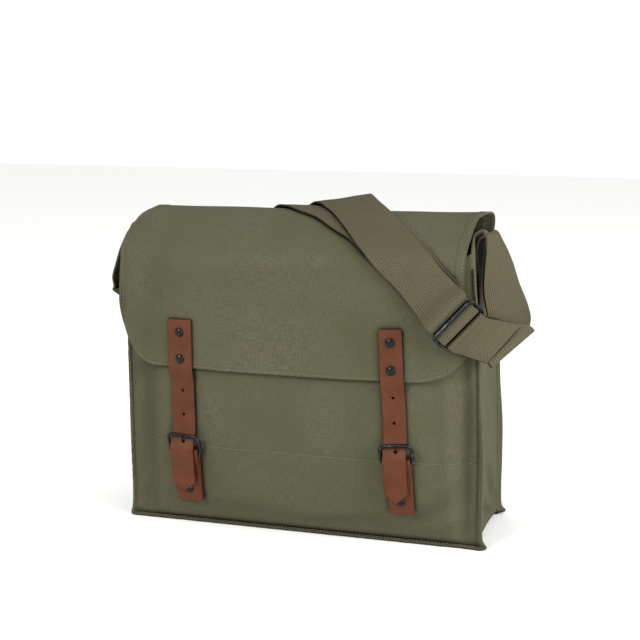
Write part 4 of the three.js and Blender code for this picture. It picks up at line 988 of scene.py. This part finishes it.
OVER_BAG = (
    ((-0.914, 0.110, 0), (-0.850, 0.036, 0)),
    ((-0.726, 0.128, 0), (-0.640, 0.051, 0)),
    ((-0.553, 0.156, 0), (-0.438, 0.075, 0)),
    ((-0.398, 0.196, 0), (-0.255, 0.105, 0)),
    ((-0.269, 0.245, 0), (-0.094, 0.147, 0.1)),
    ((-0.156, 0.314, 0), (0.047, 0.209, 0.42)),
    ((-0.060, 0.393, 0.1), (0.165, 0.293, 0.70)),
    ((0.034, 0.468, 0), (0.259, 0.403, 0.75)),
    ((0.123, 0.532, 0), (0.336, 0.470, 0.52)),
    ((0.215, 0.600, 0), (0.409, 0.513, 0.3)),
    ((0.294, 0.658, 0), (0.484, 0.559, 0.15)),
    ((0.368, 0.709, 0), (0.555, 0.604, 0.02)),
    ((0.464, 0.761, 0), (0.632, 0.655, 0)),
    ((0.576, 0.813, 0.05), (0.736, 0.724, 0.05)),
    ((0.675, 0.856, 0.28), (0.851, 0.786, 0.24)),
)
UNDER_LAYER = (
    ((0.676, 0.859, 0.18), (0.868, 0.788, 0.14)),
    ((0.576, 0.817, 0.02), (0.756, 0.724, 0.02)),
    ((0.475, 0.762, 0), (0.661, 0.654, 0)),
    ((0.376, 0.710, 0), (0.562, 0.617, 0)),
    ((0.263, 0.648, 0), (0.456, 0.561, 0)),
    ((0.153, 0.603, 0), (0.348, 0.515, 0)),
    ((0.014, 0.534, 0), (0.203, 0.452, 0)),
    ((-0.101, 0.491, 0), (0.088, 0.389, 0)),
    ((-0.194, 0.438, 0), (0.004, 0.307, 0)),
    ((-0.282, 0.376, 0), (-0.087, 0.240, 0)),
    ((-0.383, 0.290, 0), (-0.197, 0.180, 0)),
    ((-0.487, 0.215, 0), (-0.311, 0.126, 0)),
)

lower_bar = SLIDER_LENGTH / 2
right_fall = sewn_lines(1) + loop_lines(1, RIGHT_LOOP)
OUT_TO_FRONT = Vector((0.5, -0.8, 0.4))
right_fold = fold_lines(right_fall[-1], by_slider(0, lower_bar, 0), OUT_TO_FRONT)
after_fold = right_fold[-1]
approach = line_by_slider(lower_bar + 3, -BAR_TURN)
leaving = line_by_slider(lower_bar + 3, BAR_TURN)
doubled = [p + OUT_TO_FRONT.normalized() * (WEB + 0.7) for p in after_fold]
RAW_END = (0.87, 0.7)
sewn_end = [p.lerp(q, mix(*RAW_END, share)) for p, q, share in zip(leaving, doubled, ACROSS)]
short_lines = [
    *right_fall, *right_fold,
    between(after_fold, approach, 0.35), between(after_fold, approach, 0.7), approach,
    *turn_round_bar(lower_bar, -1, -1), leaving,
    between(leaving, doubled, 0.3), between(leaving, doubled, 0.6), sewn_end,
]
lay_webbing("short_strap_webbing", short_lines, "short_strap")

left_fall = sewn_lines(-1) + loop_lines(-1, LEFT_LOOP)
left_turn = loop_lines(-1, LEFT_TURN)
SLIDER_LEAD = 7
LEAD_SINK = 0.3
long_lines = [
    *left_fall, *fold_lines(left_fall[-1], left_turn[0][2], Vector((1, 0, 0))), *left_turn,
    *bag_lines(OVER_BAG, 1),
    line_by_slider(-lower_bar - SLIDER_LEAD, -BAR_TURN - LEAD_SINK, SLIDER_GATHER),
    line_by_slider(-lower_bar, -BAR_TURN),
    line_by_slider(-lower_bar / 2, 0), *turn_round_bar(0, 1, 1),
    line_by_slider(-lower_bar, -BAR_TURN - WEB - WEB_CLEAR),
    line_by_slider(
        -lower_bar - SLIDER_LEAD, -BAR_TURN - WEB - WEB_CLEAR - LEAD_SINK, SLIDER_GATHER),
    *bag_lines(UNDER_LAYER, 0),
]
lay_webbing("long_strap_webbing", long_lines, "long_strap")

# Closing straps: oiled brown cowhide, cut with smooth edges and a pointed tail. Handling has
# darkened their edges, and left the faces mottled and a little shiny.
leather, leather_output = new_material("oiled_brown_leather")
hide_place = add(leather, "ShaderNodeTexCoord").outputs["Object"]
hide_mottle = add(leather, "ShaderNodeTexNoise", {
    "Vector": hide_place, "Scale": 1 / (16 * MM), "Detail": 2.0})
hide_spread = add(leather, "ShaderNodeMapRange", {
    "Value": hide_mottle.outputs["Fac"], "From Min": 0.25, "From Max": 0.75})
hide_face = add(leather, "ShaderNodeMix", {
    0: hide_spread.outputs[0], 6: linear("#47240f"), 7: linear("#552b14")}, data_type="RGBA")
hide_edge = add(leather, "ShaderNodeAmbientOcclusion", {"Distance": 1.1 * MM}, inside=True, samples=6)
hide_rim = add(leather, "ShaderNodeMapRange", {
    "Value": hide_edge.outputs["AO"], "From Min": 0.55, "From Max": 0.95})
hide_dye = add(leather, "ShaderNodeMix", {
    0: hide_rim.outputs[0], 6: linear("#2f170d"), 7: hide_face.outputs[2]}, data_type="RGBA")
hide_grain = add(leather, "ShaderNodeTexVoronoi", {"Vector": hide_place, "Scale": 1 / (1.5 * MM)})
hide_bump = add(leather, "ShaderNodeBump", {
    "Height": hide_grain.outputs["Distance"], "Strength": 0.12, "Distance": 0.2 * MM})
hide_shine = add(leather, "ShaderNodeMapRange", {
    "Value": hide_mottle.outputs["Fac"], "From Min": 0.3, "From Max": 0.7,
    "To Min": 0.62, "To Max": 0.45})
hide_shader = add(leather, "ShaderNodeBsdfPrincipled", {
    "Base Color": hide_dye.outputs[2], "Normal": hide_bump.outputs[0],
    "Roughness": hide_shine.outputs[0], "Specular IOR Level": 0.2})
leather.node_tree.links.new(hide_shader.outputs[0], leather_output.inputs["Surface"])

def soften(node, voxel, passes):
    """Copy of a CAD solid whose facets and hard edges are worn round."""
    solid = bpy.data.objects[node]
    mesh = bmesh.new()
    mesh.from_mesh(solid.data)
    mesh.transform(solid.matrix_world)
    bmesh.ops.remove_doubles(mesh, verts=mesh.verts, dist=0.00001)
    bmesh.ops.recalc_face_normals(mesh, faces=mesh.faces)
    data = bpy.data.meshes.new(node + "_worn")
    mesh.to_mesh(data)
    mesh.free()
    piece = bpy.data.objects.new(node + "_worn", data)
    bpy.context.collection.objects.link(piece)
    skin = piece.modifiers.new("even_skin", "REMESH")
    skin.mode = "VOXEL"
    skin.voxel_size = voxel * MM
    skin.use_smooth_shade = True
    worn = piece.modifiers.new("worn_edges", "SMOOTH")
    worn.factor = 0.5
    worn.iterations = passes
    return piece


for side in ("left", "right"):
    seat(soften(f"strap_{side}", 0.5, 5), leather, "leather", f"strap_{side}")

# Chapes: the same leather, folded double round the buckle's lower bar and riveted to the panel.
for side in ("left", "right"):
    seat(soften(f"chape_{side}", 0.5, 4), leather, "leather", f"chape_{side}")

# Rivets, buckles, prongs and slider: steel wire and caps blackened in a hot bath. The finish is
# still shiny, and grey where it rubs.
metal, metal_output = new_material("blackened_steel")
metal_place = add(metal, "ShaderNodeTexCoord").outputs["Object"]
metal_wear = add(metal, "ShaderNodeTexNoise", {
    "Vector": metal_place, "Scale": 1 / (5 * MM), "Detail": 5.0})
metal_rub = add(metal, "ShaderNodeMapRange", {
    "Value": metal_wear.outputs["Fac"], "From Min": 0.5, "From Max": 0.75})
metal_tone = add(metal, "ShaderNodeMix", {
    0: metal_rub.outputs[0], 6: linear("#25272a"), 7: linear("#4c4e50")}, data_type="RGBA")
metal_shader = add(metal, "ShaderNodeBsdfPrincipled", {
    "Base Color": metal_tone.outputs[2], "Metallic": 0.95, "Roughness": 0.26})
metal.node_tree.links.new(metal_shader.outputs[0], metal_output.inputs["Surface"])

lacquer, lacquer_output = new_material("black_lacquered_brass")
lacquer_shader = add(lacquer, "ShaderNodeBsdfPrincipled", {
    "Base Color": linear("#08090a"), "Roughness": 0.22, "Specular IOR Level": 0.22})
lacquer.node_tree.links.new(lacquer_shader.outputs[0], lacquer_output.inputs["Surface"])

for side in ("left", "right"):
    for rivet in ("upper", "lower", "chape"):
        seat(soften(f"rivet_{side}_{rivet}", 0.25, 4), lacquer, "dark_metal", f"rivet_{side}_{rivet}")
    seat(soften(f"buckle_{side}", 0.3, 6), metal, "dark_metal", f"buckle_{side}")
    seat(soften(f"prong_{side}", 0.2, 4), metal, "dark_metal", f"prong_{side}")
seat(soften("slider", 0.3, 6), metal, "dark_metal", "slider")
